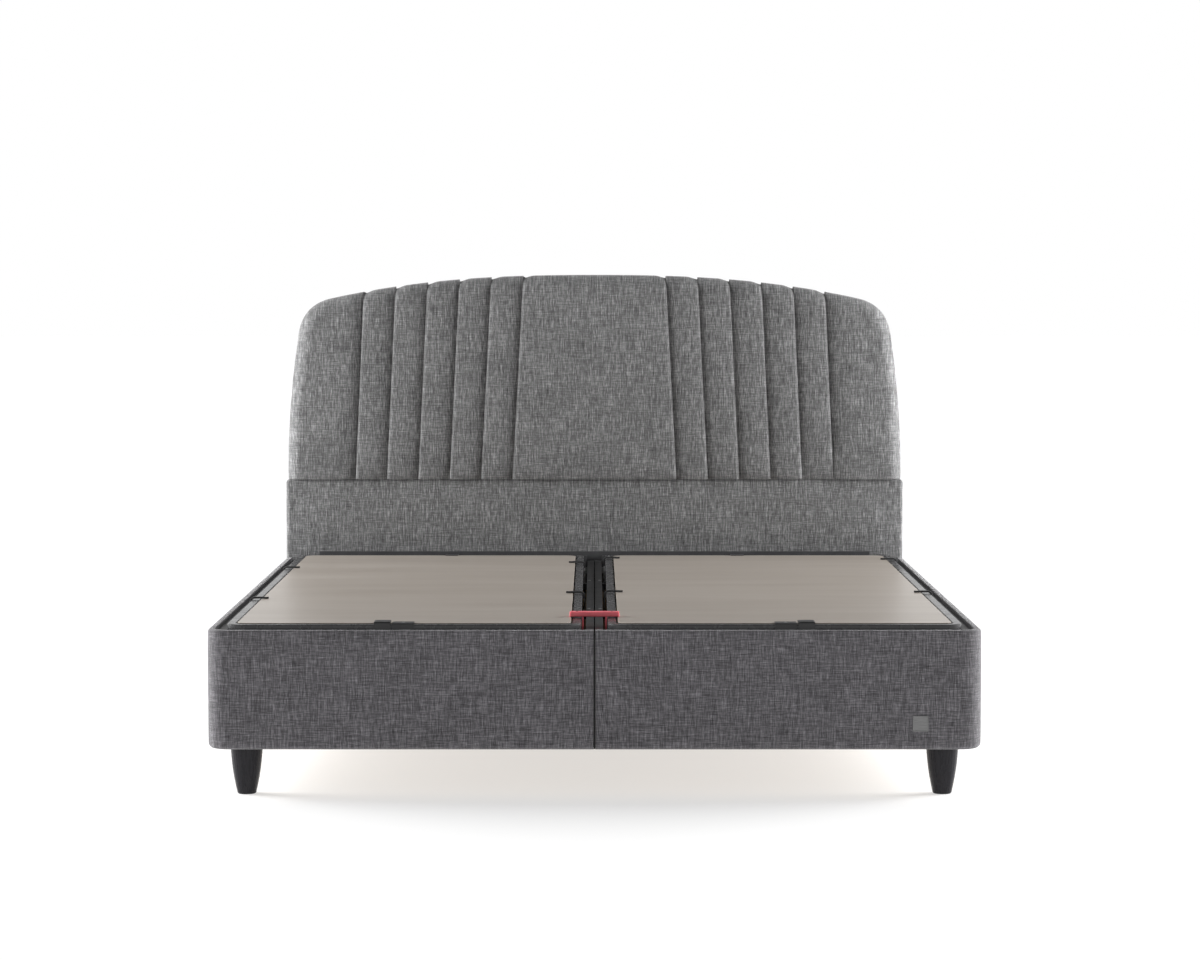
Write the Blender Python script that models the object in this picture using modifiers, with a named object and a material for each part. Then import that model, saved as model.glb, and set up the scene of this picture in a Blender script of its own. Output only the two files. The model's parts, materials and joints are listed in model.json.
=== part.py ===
"""Split storage bed base: two upholstered half boxes side by side, each under a lift-up lid on a
steel tube frame, with gas struts, tapered legs and a channelled, padded headboard.

Metres. +X is to the right as seen from the foot, +Y runs from the foot to the headboard, +Z is up.
The origin is on the floor, under the middle of the whole bed.
"""
import math

import bmesh
import bpy
from mathutils import Matrix

# Overall sizes
WIDTH = 1.70
BASE_LENGTH = 2.03           # foot face to the face of the headboard's lower band
BADGE_PROUD = 0.0015
PAD_DEPTH = 0.045
CORE_DEPTH = 0.0397
GAP = 0.0003                 # kept between pieces that touch
TOTAL_LENGTH = BADGE_PROUD + BASE_LENGTH + PAD_DEPTH + GAP + CORE_DEPTH

HALF = WIDTH / 2
FOOT = -TOTAL_LENGTH / 2 + BADGE_PROUD
HEAD = FOOT + BASE_LENGTH

# Case: upholstered panels, corner posts, steel rails and storage boards
PANEL_BOTTOM, PANEL_TOP = 0.107, 0.370
PANEL = 0.017
CORNER_RADIUS = 0.050
SEAM = 0.0025                # between the two halves
RAIL = 0.018
RAIL_BOTTOM, RAIL_TOP = 0.332, 0.362
FOOT_RAIL_BOTTOM, FOOT_RAIL_TOP = 0.322, 0.352
HEAD_RAIL_BOTTOM, HEAD_RAIL_TOP = 0.296, 0.326
BOARD = 0.012
REST_PLACES = (0.60, 1.38)   # behind the foot face
REST_LENGTH, REST_REACH = 0.022, 0.016
REST_LIFT, REST_PLAY = 0.006, 0.001      # above the rail's underside, and under the lid's tube

# Lids: steel tube frame, board, clips and grip
TUBE = 0.020
TUBE_BOTTOM = 0.356
TUBE_TOP = TUBE_BOTTOM + TUBE
OUTER_GAP, CENTRE_GAP = 0.005, 0.010
LID_FOOT = FOOT + 0.023
LID_HEAD = HEAD - 0.046
LID_RADIUS = 0.050
LID_BOARD = 0.0055
BOARD_SETBACK = 0.0025       # from the tube's inner face to the board's edge
BOARD_RADIUS = 0.008
BAR_PLACES = (-0.33, 0.33)
TUBE_EDGE = 0.0015
BOARD_BOTTOM = TUBE_TOP + GAP
LID_TOP = BOARD_BOTTOM + LID_BOARD + GAP     # what lies on a board starts here

# Foot clips and the red grip, on the lids
CLIP_X = 0.44
CLIP_HALF, CLIP_REACH, CLIP_SKIN = 0.0435, 0.040, 0.002
CLIP_DROP = 0.014            # below the tube's top
CROWN_START, CROWN_HEIGHT = 0.0065, 0.007
GRIP_BEHIND_FOOT = 0.20
GRIP_HALF, GRIP_DEPTH, GRIP_HEIGHT = 0.0514, 0.028, 0.011
GRIP_LEG, GRIP_LEG_DEPTH, GRIP_LEG_BELOW = 0.005, 0.022, 0.012

# Hinges and gas struts, in the plane of each lid tube
PIVOT_Y = LID_HEAD - 0.015
PIVOT_Z = TUBE_BOTTOM - 0.016
LUG, LUG_RADIUS, LUG_INSET = 0.004, 0.012, 0.0002
STUD_END = 0.0160            # how far in from the tube's outer face a lid stud reaches
PIN_RADIUS, PIN_PLAY, PIN_LENGTH = 0.004, 0.0003, 0.0105
BRACKET, BRACKET_RADIUS, BRACKET_PLAY = 0.004, 0.018, 0.0005
LOWER_STUD_LENGTH = 0.0180
SPACER_HALF, SPACER_ABOVE = 0.009, 0.008
STRUT_IN = 0.010             # a strut's axis, in from the tube's outer face
STRUT_DROP = 0.110           # lower stud below the lid's pivot
STRUT_REACH = 0.450          # upper stud ahead of the lid's pivot
STUD_RADIUS = 0.003
EYE_BORE, EYE_RADIUS, EYE_WIDTH = 0.0066, 0.0102, 0.007
EYE_TURN, EYE_SLACK = -0.0058, 0.0020    # the open upper eye's rest place against its stud
CYLINDER_RADIUS, CYLINDER_START, CYLINDER_LENGTH = 0.009, 0.008, 0.300
CYLINDER_EYE, CYLINDER_EYE_WIDTH = 0.0085, 0.009
ROD_RADIUS, ROD_BORE, ROD_START, BORE_START = 0.004, 0.0052, 0.200, 0.030
THROUGH = 0.03               # length of a tool that cuts right through

# Legs
LEG_TOP_RADIUS, LEG_FOOT_RADIUS = 0.036, 0.021
LEG_PLATE, LEG_PLATE_RADIUS = 0.003, 0.040
LEG_IN, LEG_BACK = 0.080, 0.085
LEG_BULGE, LEG_CHAMFER = 0.0025, 0.002
CENTRE_LEG_X = 0.065

# Headboard
SEAM_HEIGHT = 0.586
TOP_HEIGHT = 1.148
PAD_HALF_WIDTH = 0.8445
PAD_PROUD = 0.012            # upper pad ahead of the lower band
PAD_EDGE = 0.008
PAD_SHORT = 0.003            # each pad stops this short of the seam between them
CORE_INSET, CORE_EDGE = 0.010, 0.003
ARCH_DROP, ARCH_POWER = 0.144, 2.5
LEAN, LEAN_START = 0.20, 0.60
CORNER_HEIGHT = 1.0655
CORNER_DOWN, CORNER_IN = 0.076, 0.074    # how far the rounded corner runs down the side and in along the top

# Badge
BADGE_X, BADGE_Z, BADGE_SIZE = 0.714, 0.165, 0.035

PARTS = "split_storage_bed"
CUTTERS = "cutters"
PLAN = Matrix.Identity(3)
FRONT_VIEW = Matrix(((1, 0, 0), (0, 0, -1), (0, 1, 0)))
SIDE_VIEW = Matrix(((0, 0, 1), (1, 0, 0), (0, 1, 0)))


# Scene and materials

def clear_scene():
    for item in list(bpy.data.objects):
        bpy.data.objects.remove(item, do_unlink=True)


def collection(name):
    found = bpy.data.collections.get(name)
    if found is None:
        found = bpy.data.collections.new(name)
        bpy.context.scene.collection.children.link(found)
    return found


def material(name, color, roughness, metallic=0.0):
    found = bpy.data.materials.get(name)
    if found is None:
        found = bpy.data.materials.new(name)
        found.use_nodes = True
        shader = found.node_tree.nodes["Principled BSDF"]
        shader.inputs["Base Color"].default_value = (*color, 1.0)
        shader.inputs["Roughness"].default_value = roughness
        shader.inputs["Metallic"].default_value = metallic
    return found


def fabric():
    return material("grey_linen", (0.12, 0.12, 0.125), 0.95)


def light_fabric():
    return material("light_grey_linen", (0.18, 0.18, 0.185), 0.95)


def black_steel():
    return material("black_steel", (0.045, 0.045, 0.05), 0.42, 0.3)


def zinc_steel():
    return material("zinc_steel", (0.55, 0.55, 0.56), 0.35, 1.0)


def lid_laminate():
    return material("lid_laminate", (0.30, 0.27, 0.235), 0.38)


def plain_board():
    return material("plain_board", (0.42, 0.34, 0.25), 0.7)


def black_plastic():
    return material("black_plastic", (0.03, 0.03, 0.033), 0.45)


def black_lacquer():
    return material("black_lacquer", (0.025, 0.025, 0.03), 0.35)


def red_plastic():
    return material("red_plastic", (0.42, 0.05, 0.06), 0.5)


# Shapes

def add(name, data, finish, parent=None):
    item = bpy.data.objects.new(name, data)
    if finish is None:
        collection(CUTTERS).objects.link(item)
        item.hide_render = True
        item.display_type = "WIRE"
    else:
        data.materials.append(finish)
        collection(PARTS).objects.link(item)
    hang(item, parent)
    return item


def hang(item, parent):
    """Parents an item to an empty and leaves it where it is."""
    if parent is not None:
        item.parent = parent
        item.matrix_parent_inverse = parent_matrix(parent).inverted()


def parent_matrix(parent):
    return Matrix.LocRotScale(parent.location, parent.rotation_euler, None)


def axis_empty(name, place, turn=0.0):
    empty = bpy.data.objects.new(name, None)
    empty.location = place
    empty.rotation_euler = (turn, 0.0, 0.0)
    empty.empty_display_size = 0.05
    collection(PARTS).objects.link(empty)
    return empty


def bevelled(item, width, segments=2):
    bevel = item.modifiers.new("edges", "BEVEL")
    bevel.width = width
    bevel.segments = segments
    bevel.limit_method = "ANGLE"
    bevel.angle_limit = math.radians(50)
    return item


def block(name, x, y, z, finish, edge=0.0, parent=None):
    """A box between two values on each axis."""
    size = [abs(b - a) for a, b in (x, y, z)]
    mesh = bpy.data.meshes.new(name)
    form = bmesh.new()
    bmesh.ops.create_cube(form, size=1.0)
    bmesh.ops.scale(form, vec=size, verts=form.verts)
    form.to_mesh(mesh)
    form.free()
    item = add(name, mesh, finish)
    item.location = [(a + b) / 2 for a, b in (x, y, z)]
    hang(item, parent)
    return bevelled(item, edge) if edge else item


def round_bar(name, radius, length, place, finish, steps=24):
    """A cylinder along X, centred on place."""
    mesh = bpy.data.meshes.new(name)
    form = bmesh.new()
    bmesh.ops.create_cone(form, cap_ends=True, segments=steps, radius1=radius, radius2=radius, depth=length)
    form.to_mesh(mesh)
    form.free()
    mesh.shade_smooth()
    mesh.set_sharp_from_angle(angle=math.radians(40))
    item = add(name, mesh, finish)
    item.location = place
    item.rotation_euler = (0.0, math.pi / 2, 0.0)
    return item


def arc(centre, radius, start, end, steps=6):
    """Points on an arc, angles in degrees."""
    angles = [math.radians(start + (end - start) * i / steps) for i in range(steps + 1)]
    return [(centre[0] + radius * math.cos(a), centre[1] + radius * math.sin(a)) for a in angles]


def rounded(corners, steps=6):
    """A polygon of (x, y, radius) corners, each turned by an arc of its radius."""
    points = []
    count = len(corners)
    for i, (x, y, radius) in enumerate(corners):
        if radius == 0:
            points.append((x, y))
            continue
        before, after = corners[i - 1], corners[(i + 1) % count]
        back = math.atan2(before[1] - y, before[0] - x)
        ahead = math.atan2(after[1] - y, after[0] - x)
        half = ((ahead - back) % (2 * math.pi)) / 2
        reach = abs(radius / math.sin(half))
        middle = back + half + (math.pi if half > math.pi / 2 else 0)
        centre = (x + reach * math.cos(middle), y + reach * math.sin(middle))
        inside = half if half < math.pi / 2 else math.pi - half
        sweep = math.pi - 2 * inside
        sign = 1 if half > math.pi / 2 else -1
        first = middle + math.pi - sign * sweep / 2
        for step in range(steps + 1):
            angle = first + sign * sweep * step / steps
            points.append((centre[0] + radius * math.cos(angle), centre[1] + radius * math.sin(angle)))
    return points


def sheet(name, outline, view, low, high, finish, parent=None):
    """A flat outline, drawn in a view and extruded between two values along its normal."""
    curve = bpy.data.curves.new(name, "CURVE")
    curve.dimensions = "2D"
    curve.fill_mode = "BOTH"
    curve.extrude = (high - low) / 2
    line = curve.splines.new("POLY")
    line.points.add(len(outline) - 1)
    for point, (u, v) in zip(line.points, outline):
        point.co = (u, v, 0.0, 1.0)
    line.use_cyclic_u = True
    item = add(name, curve, finish)
    normal = view.col[2]
    middle = (low + high) / 2
    item.location = [abs(n) * middle for n in normal]
    item.rotation_euler = view.to_euler()
    hang(item, parent)
    return item


def meshed(item):
    """The same item as a mesh, so that it can be cut and joined."""
    bpy.context.view_layer.update()
    graph = bpy.context.evaluated_depsgraph_get()
    mesh = bpy.data.meshes.new_from_object(item.evaluated_get(graph))
    form = bmesh.new()
    form.from_mesh(mesh)
    bmesh.ops.remove_doubles(form, verts=form.verts, dist=0.00005)
    form.to_mesh(mesh)
    form.free()
    name, holder, place = item.name, item.users_collection[0], item.matrix_world.copy()
    hidden = item.hide_render
    bpy.data.objects.remove(item, do_unlink=True)
    solid = bpy.data.objects.new(name, mesh)
    holder.objects.link(solid)
    solid.matrix_world = place
    solid.hide_render = hidden
    solid.display_type = "WIRE" if hidden else "TEXTURED"
    return solid


def boolean(item, tool, operation):
    change = item.modifiers.new(tool.name, "BOOLEAN")
    change.operation = operation
    change.solver = "EXACT"
    change.object = tool


def join(item, *tools):
    for tool in tools:
        boolean(item, tool, "UNION")


def cut(item, *tools):
    for tool in tools:
        boolean(item, tool, "DIFFERENCE")


# Left and right

def side_name(side):
    return "right" if side > 0 else "left"


def span(side, near, far):
    """Two distances from the middle, as values of X on one side."""
    return (side * near, side * far)


def ordered(side, near, far):
    return sorted(span(side, near, far))


# Headboard

def top_edge(x):
    return TOP_HEIGHT - ARCH_DROP * abs(x) ** ARCH_POWER


def side_edge(z):
    return PAD_HALF_WIDTH - LEAN * max(z - LEAN_START, 0.0) ** 2


def pad_outline(bottom, inset=0.0):
    """The headboard's arched outline: sides that lean in, a rounded corner and a shallow arch."""
    corner = (side_edge(CORNER_HEIGHT), CORNER_HEIGHT)
    side_end, top_start = CORNER_HEIGHT - CORNER_DOWN, corner[0] - CORNER_IN
    first, last = (side_edge(side_end), side_end), (top_start, top_edge(top_start))
    right = [(side_edge(z), z) for z in (bottom, 0.70, 0.80, 0.90)]
    for i in range(9):
        t = i / 8
        blend = [(1 - t) ** 2 * a + 2 * t * (1 - t) * b + t * t * c for a, b, c in zip(first, corner, last)]
        right.append(tuple(blend))
    right += [(top_start * (1 - i / 7), top_edge(top_start * (1 - i / 7))) for i in range(1, 7)]
    right = [(x - inset, z - inset * (z > bottom)) for x, z in right]
    left = [(-x, z) for x, z in reversed(right)]
    return right + [(0.0, TOP_HEIGHT - inset)] + left


def headboard():
    upper = sheet("headboard_upper_pad", pad_outline(SEAM_HEIGHT + PAD_SHORT), FRONT_VIEW,
                  HEAD - PAD_PROUD, HEAD + PAD_DEPTH, fabric())
    bevelled(meshed(upper), PAD_EDGE)
    block("headboard_lower_pad", (-HALF, HALF), (HEAD, HEAD + PAD_DEPTH),
          (PANEL_BOTTOM, SEAM_HEIGHT - PAD_SHORT), fabric(), edge=PAD_EDGE)
    back = HEAD + PAD_DEPTH + GAP
    core = sheet("headboard_core", pad_outline(PANEL_BOTTOM, inset=CORE_INSET), FRONT_VIEW,
                 back, back + CORE_DEPTH, plain_board())
    bevelled(meshed(core), CORE_EDGE, 1)


# Case

def corner_centre(side):
    return (side * (HALF - CORNER_RADIUS), FOOT + CORNER_RADIUS)


def panels(side):
    name = side_name(side)
    block("side_panel_" + name, span(side, HALF - PANEL, HALF), (FOOT + CORNER_RADIUS + GAP, HEAD - GAP),
          (PANEL_BOTTOM, PANEL_TOP), fabric(), edge=0.003)
    block("foot_panel_" + name, span(side, SEAM / 2, HALF - CORNER_RADIUS - GAP), (FOOT, FOOT + PANEL),
          (PANEL_BOTTOM, PANEL_TOP), fabric(), edge=0.003)
    start, end = (270, 360) if side > 0 else (180, 270)
    centre = corner_centre(side)
    outer = arc(centre, CORNER_RADIUS, start, end, 10)
    inner = arc(centre, CORNER_RADIUS - PANEL, end, start, 10)
    sheet("corner_post_" + name, outer + inner, PLAN, PANEL_BOTTOM, PANEL_TOP, light_fabric())


def rest(side, name, wall, inward, place):
    """A tab on a rail that the lid's tube comes down on."""
    x = (wall - inward * RAIL / 2, wall + inward * REST_REACH)
    y = (FOOT + place - REST_LENGTH / 2, FOOT + place + REST_LENGTH / 2)
    return block(name, span(side, *x), y, (RAIL_BOTTOM + REST_LIFT, TUBE_BOTTOM - REST_PLAY), None)


def outer_wall():
    """Distance from the middle to the outer rail's inner face."""
    return HALF - PANEL - GAP - RAIL


def centre_wall():
    return SEAM / 2 + RAIL


def rails(side):
    name = side_name(side)
    wall = outer_wall()
    back = HEAD - GAP
    radius = CORNER_RADIUS - PANEL - GAP
    centre = (HALF - CORNER_RADIUS, FOOT + CORNER_RADIUS)
    low = -math.degrees(math.acos((wall - centre[0]) / radius))
    line = [(wall, back)] + arc(centre, radius, low, 0, 5) + [(wall + RAIL, back)]
    line = [(side * x, y) for x, y in line]
    outer = meshed(sheet("outer_rail_" + name, line, PLAN, RAIL_BOTTOM, RAIL_TOP, black_steel()))
    inner = block("centre_rail_" + name, span(side, SEAM / 2, centre_wall()), (FOOT + PANEL + GAP, back),
                  (RAIL_BOTTOM, RAIL_TOP), black_steel())
    for i, place in enumerate(REST_PLACES):
        join(outer, rest(side, f"outer_rest_{name}_{i}", wall, -1, place))
        join(inner, rest(side, f"centre_rest_{name}_{i}", centre_wall(), 1, place))
    block("foot_rail_" + name, span(side, centre_wall() + GAP, HALF - CORNER_RADIUS),
          (FOOT + PANEL + GAP, FOOT + PANEL + GAP + RAIL), (FOOT_RAIL_BOTTOM, FOOT_RAIL_TOP),
          black_steel(), edge=0.001)
    block("head_rail_" + name, span(side, centre_wall() + GAP, wall - GAP), (HEAD - GAP - RAIL, HEAD - GAP),
          (HEAD_RAIL_BOTTOM, HEAD_RAIL_TOP), black_steel(), edge=0.001)


def storage(side):
    name = side_name(side)
    low = PANEL_BOTTOM + LEG_PLATE + GAP
    top = low + BOARD
    near, far = SEAM / 2, HALF - PANEL - GAP
    front, back = FOOT + PANEL + GAP, HEAD - GAP
    centre = (HALF - CORNER_RADIUS, FOOT + CORNER_RADIUS)
    bend = arc(centre, CORNER_RADIUS - PANEL - GAP, 270, 360, 5)
    line = [(near, back), (near, front)] + bend + [(far, back)]
    sheet("storage_floor_" + name, [(side * x, y) for x, y in line], PLAN, low, top, plain_board())
    block("centre_board_" + name, span(side, near, near + BOARD), (front, back - BOARD - GAP),
          (top + GAP, RAIL_BOTTOM - GAP), plain_board())
    block("head_board_" + name, span(side, near, far), (back - BOARD, back),
          (top + GAP, HEAD_RAIL_BOTTOM - GAP), plain_board())


def leg_profile():
    """Half section of a leg, from the top centre down its convex side to the foot's centre."""
    line = [(0.0, PANEL_BOTTOM + LEG_PLATE), (LEG_PLATE_RADIUS, PANEL_BOTTOM + LEG_PLATE),
            (LEG_PLATE_RADIUS, PANEL_BOTTOM)]
    for i in range(7):
        t = i / 6
        bulge = LEG_BULGE * math.sin(math.pi * t)
        line.append((LEG_TOP_RADIUS + (LEG_FOOT_RADIUS - LEG_TOP_RADIUS) * t + bulge,
                     (PANEL_BOTTOM - GAP) * (1 - t) + LEG_CHAMFER * t))
    return line + [(LEG_FOOT_RADIUS - LEG_CHAMFER, 0.0), (0.0, 0.0)]


def leg(name, x, y):
    line = leg_profile()
    mesh = bpy.data.meshes.new(name)
    mesh.from_pydata([(r, 0.0, z) for r, z in line], [(i, i + 1) for i in range(len(line) - 1)], [])
    item = add(name, mesh, black_lacquer())
    item.location = (x, y, 0.0)
    turn = item.modifiers.new("turned", "SCREW")
    turn.steps = turn.render_steps = 28
    turn.use_merge_vertices = True
    turn.merge_threshold = 0.00005
    turn.use_smooth_shade = True


def legs(side):
    name = side_name(side)
    leg("leg_foot_" + name, side * (HALF - LEG_IN), FOOT + LEG_BACK)
    leg("leg_head_" + name, side * (HALF - LEG_IN), HEAD - LEG_BACK)
    leg("leg_centre_" + name, side * CENTRE_LEG_X, 0.0)


# Lids

def lid_faces():
    """Distances from the middle to a lid's inner and outer edges."""
    return centre_wall() + CENTRE_GAP, outer_wall() - OUTER_GAP


def lug(side, name, face, outward, y):
    """A round-ended lug under a tube, just inside the tube's outer face."""
    line = arc((y, PIVOT_Z), LUG_RADIUS, 180, 360, 8)
    line += [(y + LUG_RADIUS, TUBE_BOTTOM + LUG), (y - LUG_RADIUS, TUBE_BOTTOM + LUG)]
    outside = face - outward * LUG_INSET
    return meshed(sheet(name, line, SIDE_VIEW, *ordered(side, outside, outside - outward * LUG), None))


def lid_tube(side, which, face, outward, parent):
    """A lid's side tube, with its hinge lug at the head and its strut stud further forward."""
    name = f"lid_{which}_tube_{side_name(side)}"
    x = span(side, face, face - outward * TUBE)
    tube = block(name, x, (LID_FOOT + LID_RADIUS + GAP, LID_HEAD), (TUBE_BOTTOM, TUBE_TOP),
                 black_steel(), parent=parent)
    join(tube, lug(side, name + "_hinge_lug", face, outward, PIVOT_Y))
    cut(tube, round_bar(name + "_hole", PIN_RADIUS + PIN_PLAY, THROUGH, (side * face, PIVOT_Y, PIVOT_Z), None))
    stud_y = PIVOT_Y - STRUT_REACH
    join(tube, lug(side, name + "_strut_lug", face, outward, stud_y))
    near, far = face - outward * (LUG_INSET + LUG / 2), face - outward * STUD_END
    middle = (side * (near + far) / 2, stud_y, PIVOT_Z)
    join(tube, round_bar(name + "_stud", STUD_RADIUS, abs(far - near), middle, None))


def lid_foot_tube(side, parent):
    """The bent tube across a lid's foot end, round both of its corners."""
    near, far = lid_faces()
    back, inner = LID_FOOT + LID_RADIUS, LID_RADIUS - TUBE
    line = rounded([(near, back, 0), (near, LID_FOOT, LID_RADIUS), (far, LID_FOOT, LID_RADIUS), (far, back, 0),
                    (far - TUBE, back, 0), (far - TUBE, LID_FOOT + TUBE, inner),
                    (near + TUBE, LID_FOOT + TUBE, inner), (near + TUBE, back, 0)], 8)
    line = [(side * x, y) for x, y in line]
    sheet("lid_foot_tube_" + side_name(side), line, PLAN, TUBE_BOTTOM, TUBE_TOP, black_steel(), parent)


def lid(side):
    name = side_name(side)
    hinge = axis_empty("lid_hinge_" + name, (0.0, PIVOT_Y, PIVOT_Z))
    near, far = lid_faces()
    lid_tube(side, "outer", far, 1, hinge)
    lid_tube(side, "inner", near, -1, hinge)
    lid_foot_tube(side, hinge)
    between = span(side, near + TUBE + GAP, far - TUBE - GAP)
    block("lid_head_tube_" + name, between, (LID_HEAD - TUBE, LID_HEAD), (TUBE_BOTTOM, TUBE_TOP),
          black_steel(), edge=TUBE_EDGE, parent=hinge)
    for i, y in enumerate(BAR_PLACES):
        block(f"lid_cross_bar_{name}_{i + 1}", between, (y - TUBE / 2, y + TUBE / 2), (TUBE_BOTTOM, TUBE_TOP),
              black_steel(), edge=TUBE_EDGE, parent=hinge)
    edge = TUBE + BOARD_SETBACK
    x, y = ordered(side, near + edge, far - edge), (LID_FOOT + edge, LID_HEAD - edge)
    line = rounded([(x[0], y[0], BOARD_RADIUS), (x[1], y[0], BOARD_RADIUS),
                    (x[1], y[1], BOARD_RADIUS), (x[0], y[1], BOARD_RADIUS)], 4)
    sheet("lid_board_" + name, line, PLAN, BOARD_BOTTOM, BOARD_BOTTOM + LID_BOARD, lid_laminate(), hinge)
    foot_clip(side, hinge)
    return hinge


def foot_clip(side, parent):
    """A pressed clip that hooks over the foot tube and onto the board."""
    name = side_name(side)
    front, back, drop = LID_FOOT - GAP, LID_FOOT + CLIP_REACH, TUBE_TOP - CLIP_DROP
    face, top = front - CLIP_SKIN, LID_TOP + CLIP_SKIN
    line = [(face, drop), (front, drop), (front, LID_TOP), (back, LID_TOP), (back, top), (face, top)]
    clip = sheet("foot_clip_" + name, line, SIDE_VIEW, *ordered(side, CLIP_X - CLIP_HALF, CLIP_X + CLIP_HALF),
                 black_steel(), parent)
    clip = meshed(clip)
    hang(clip, parent)
    crown = block("clip_crown_" + name, span(side, CLIP_X + CROWN_START, CLIP_X + CLIP_HALF),
                  (face, back), (LID_TOP + CLIP_SKIN / 2, LID_TOP + CROWN_HEIGHT), None)
    join(clip, crown)


def grip(parent):
    """The red grip that bridges both lids, with a leg beside each inner tube."""
    near, _ = lid_faces()
    y = FOOT + GRIP_BEHIND_FOOT
    bar = block("red_grip", (-GRIP_HALF, GRIP_HALF), (y - GRIP_DEPTH / 2, y + GRIP_DEPTH / 2),
                (LID_TOP, LID_TOP + GRIP_HEIGHT), red_plastic(), parent=parent)
    for side in (-1, 1):
        face = near - BRACKET_PLAY
        hook = block("grip_leg_" + side_name(side), span(side, face - GRIP_LEG, face),
                     (y - GRIP_LEG_DEPTH / 2, y + GRIP_LEG_DEPTH / 2),
                     (TUBE_BOTTOM - GRIP_LEG_BELOW, LID_TOP + GRIP_HEIGHT / 2), None)
        join(bar, hook)


# Hinges and struts

def hinge_bracket(side, which, face, outward, wall):
    """A plate on the rail, with the lid's hinge pin and the gas strut's lower stud."""
    name = f"hinge_bracket_{which}_{side_name(side)}"
    low, high = ordered(side, face + outward * BRACKET_PLAY, face + outward * (BRACKET_PLAY + BRACKET))
    stud_z = PIVOT_Z - STRUT_DROP
    line = arc((PIVOT_Y, PIVOT_Z), LUG_RADIUS, 0, 180, 8) + arc((PIVOT_Y, stud_z), BRACKET_RADIUS, 180, 360, 8)
    plate = meshed(sheet(name, line, SIDE_VIEW, low, high, zinc_steel()))
    root = face + outward * (BRACKET_PLAY + BRACKET / 2)
    for part, length, height in (("_pin", PIN_LENGTH, PIVOT_Z), ("_stud", LOWER_STUD_LENGTH, stud_z)):
        middle = side * (root - outward * length / 2)
        join(plate, round_bar(name + part, PIN_RADIUS, length, (middle, PIVOT_Y, height), None))
    if abs(wall - face) > OUTER_GAP + BRACKET_PLAY:
        spacer = block(name + "_spacer", span(side, root, wall - outward * GAP),
                       (PIVOT_Y - SPACER_HALF, PIVOT_Y + SPACER_HALF),
                       (RAIL_BOTTOM + REST_PLAY, PIVOT_Z + SPACER_ABOVE), None)
        join(plate, spacer)


def strut_line():
    """Angle from +Y and length of a strut, from its lower stud to its upper eye, with the lid down."""
    angle = math.atan2(STRUT_DROP, -STRUT_REACH) + EYE_TURN
    length = math.hypot(STRUT_DROP, STRUT_REACH) + EYE_SLACK
    return angle, length


def along(name, radius, start, end, finish, parent, steps=20):
    """A round bar along a strut's own axis, its parent's +Y."""
    mesh = bpy.data.meshes.new(name)
    form = bmesh.new()
    bmesh.ops.create_cone(form, cap_ends=True, segments=steps, radius1=radius, radius2=radius,
                          depth=end - start)
    form.to_mesh(mesh)
    form.free()
    mesh.shade_smooth()
    mesh.set_sharp_from_angle(angle=math.radians(40))
    item = add(name, mesh, finish)
    item.parent = parent
    item.location = (0.0, (start + end) / 2, 0.0)
    item.rotation_euler = (-math.pi / 2, 0.0, 0.0)
    return item


def across(name, radius, width, place, parent):
    """A round tool across a strut, at a place along it."""
    item = round_bar(name, radius, width, (0.0, place, 0.0), None)
    item.parent = parent
    return item


def strut(side, which, face, outward):
    """A gas strut: a cylinder on the bracket's stud, and a rod whose eye rides on the lid's stud."""
    name = f"{which}_{side_name(side)}"
    angle, length = strut_line()
    place = (side * (face - outward * STRUT_IN), PIVOT_Y, PIVOT_Z - STRUT_DROP)
    axis = axis_empty("strut_axis_" + name, place, angle)
    body = along("strut_cylinder_" + name, CYLINDER_RADIUS, CYLINDER_START, CYLINDER_LENGTH,
                 black_plastic(), axis)
    join(body, across("cylinder_eye_" + name, CYLINDER_EYE, CYLINDER_EYE_WIDTH, 0.0, axis))
    cut(body, across("cylinder_eye_bore_" + name, PIN_RADIUS + PIN_PLAY, THROUGH, 0.0, axis))
    cut(body, along("cylinder_bore_" + name, ROD_BORE, BORE_START, CYLINDER_LENGTH + THROUGH, None, axis))
    rod_end = length - EYE_RADIUS + EYE_SLACK
    rod = along("strut_rod_" + name, ROD_RADIUS, ROD_START, rod_end, zinc_steel(), axis)
    join(rod, across("rod_eye_" + name, EYE_RADIUS, EYE_WIDTH, length, axis))
    cut(rod, across("rod_eye_bore_" + name, EYE_BORE, THROUGH, length, axis))


def badge():
    """A small plain plate near the right corner of the foot panel."""
    half = BADGE_SIZE / 2
    block("plain_badge", (BADGE_X - half, BADGE_X + half), (FOOT - BADGE_PROUD, FOOT - GAP),
          (BADGE_Z - half, BADGE_Z + half), zinc_steel())


def build():
    clear_scene()
    headboard()
    near, far = lid_faces()
    for side in (-1, 1):
        panels(side)
        rails(side)
        storage(side)
        legs(side)
        hinge = lid(side)
        if side < 0:
            grip(hinge)
        ends = (("outer", far, 1, outer_wall()), ("inner", near, -1, centre_wall()))
        for which, face, outward, wall in ends:
            hinge_bracket(side, which, face, outward, wall)
            strut(side, which, face, outward)
    badge()


build()
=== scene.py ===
"""Looks for the split storage bed base: linen covers, padded headboard, lids, clips and light."""
import json
import math

import bmesh
import bpy
import numpy as np
from mathutils import Matrix, Vector, noise


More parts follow.
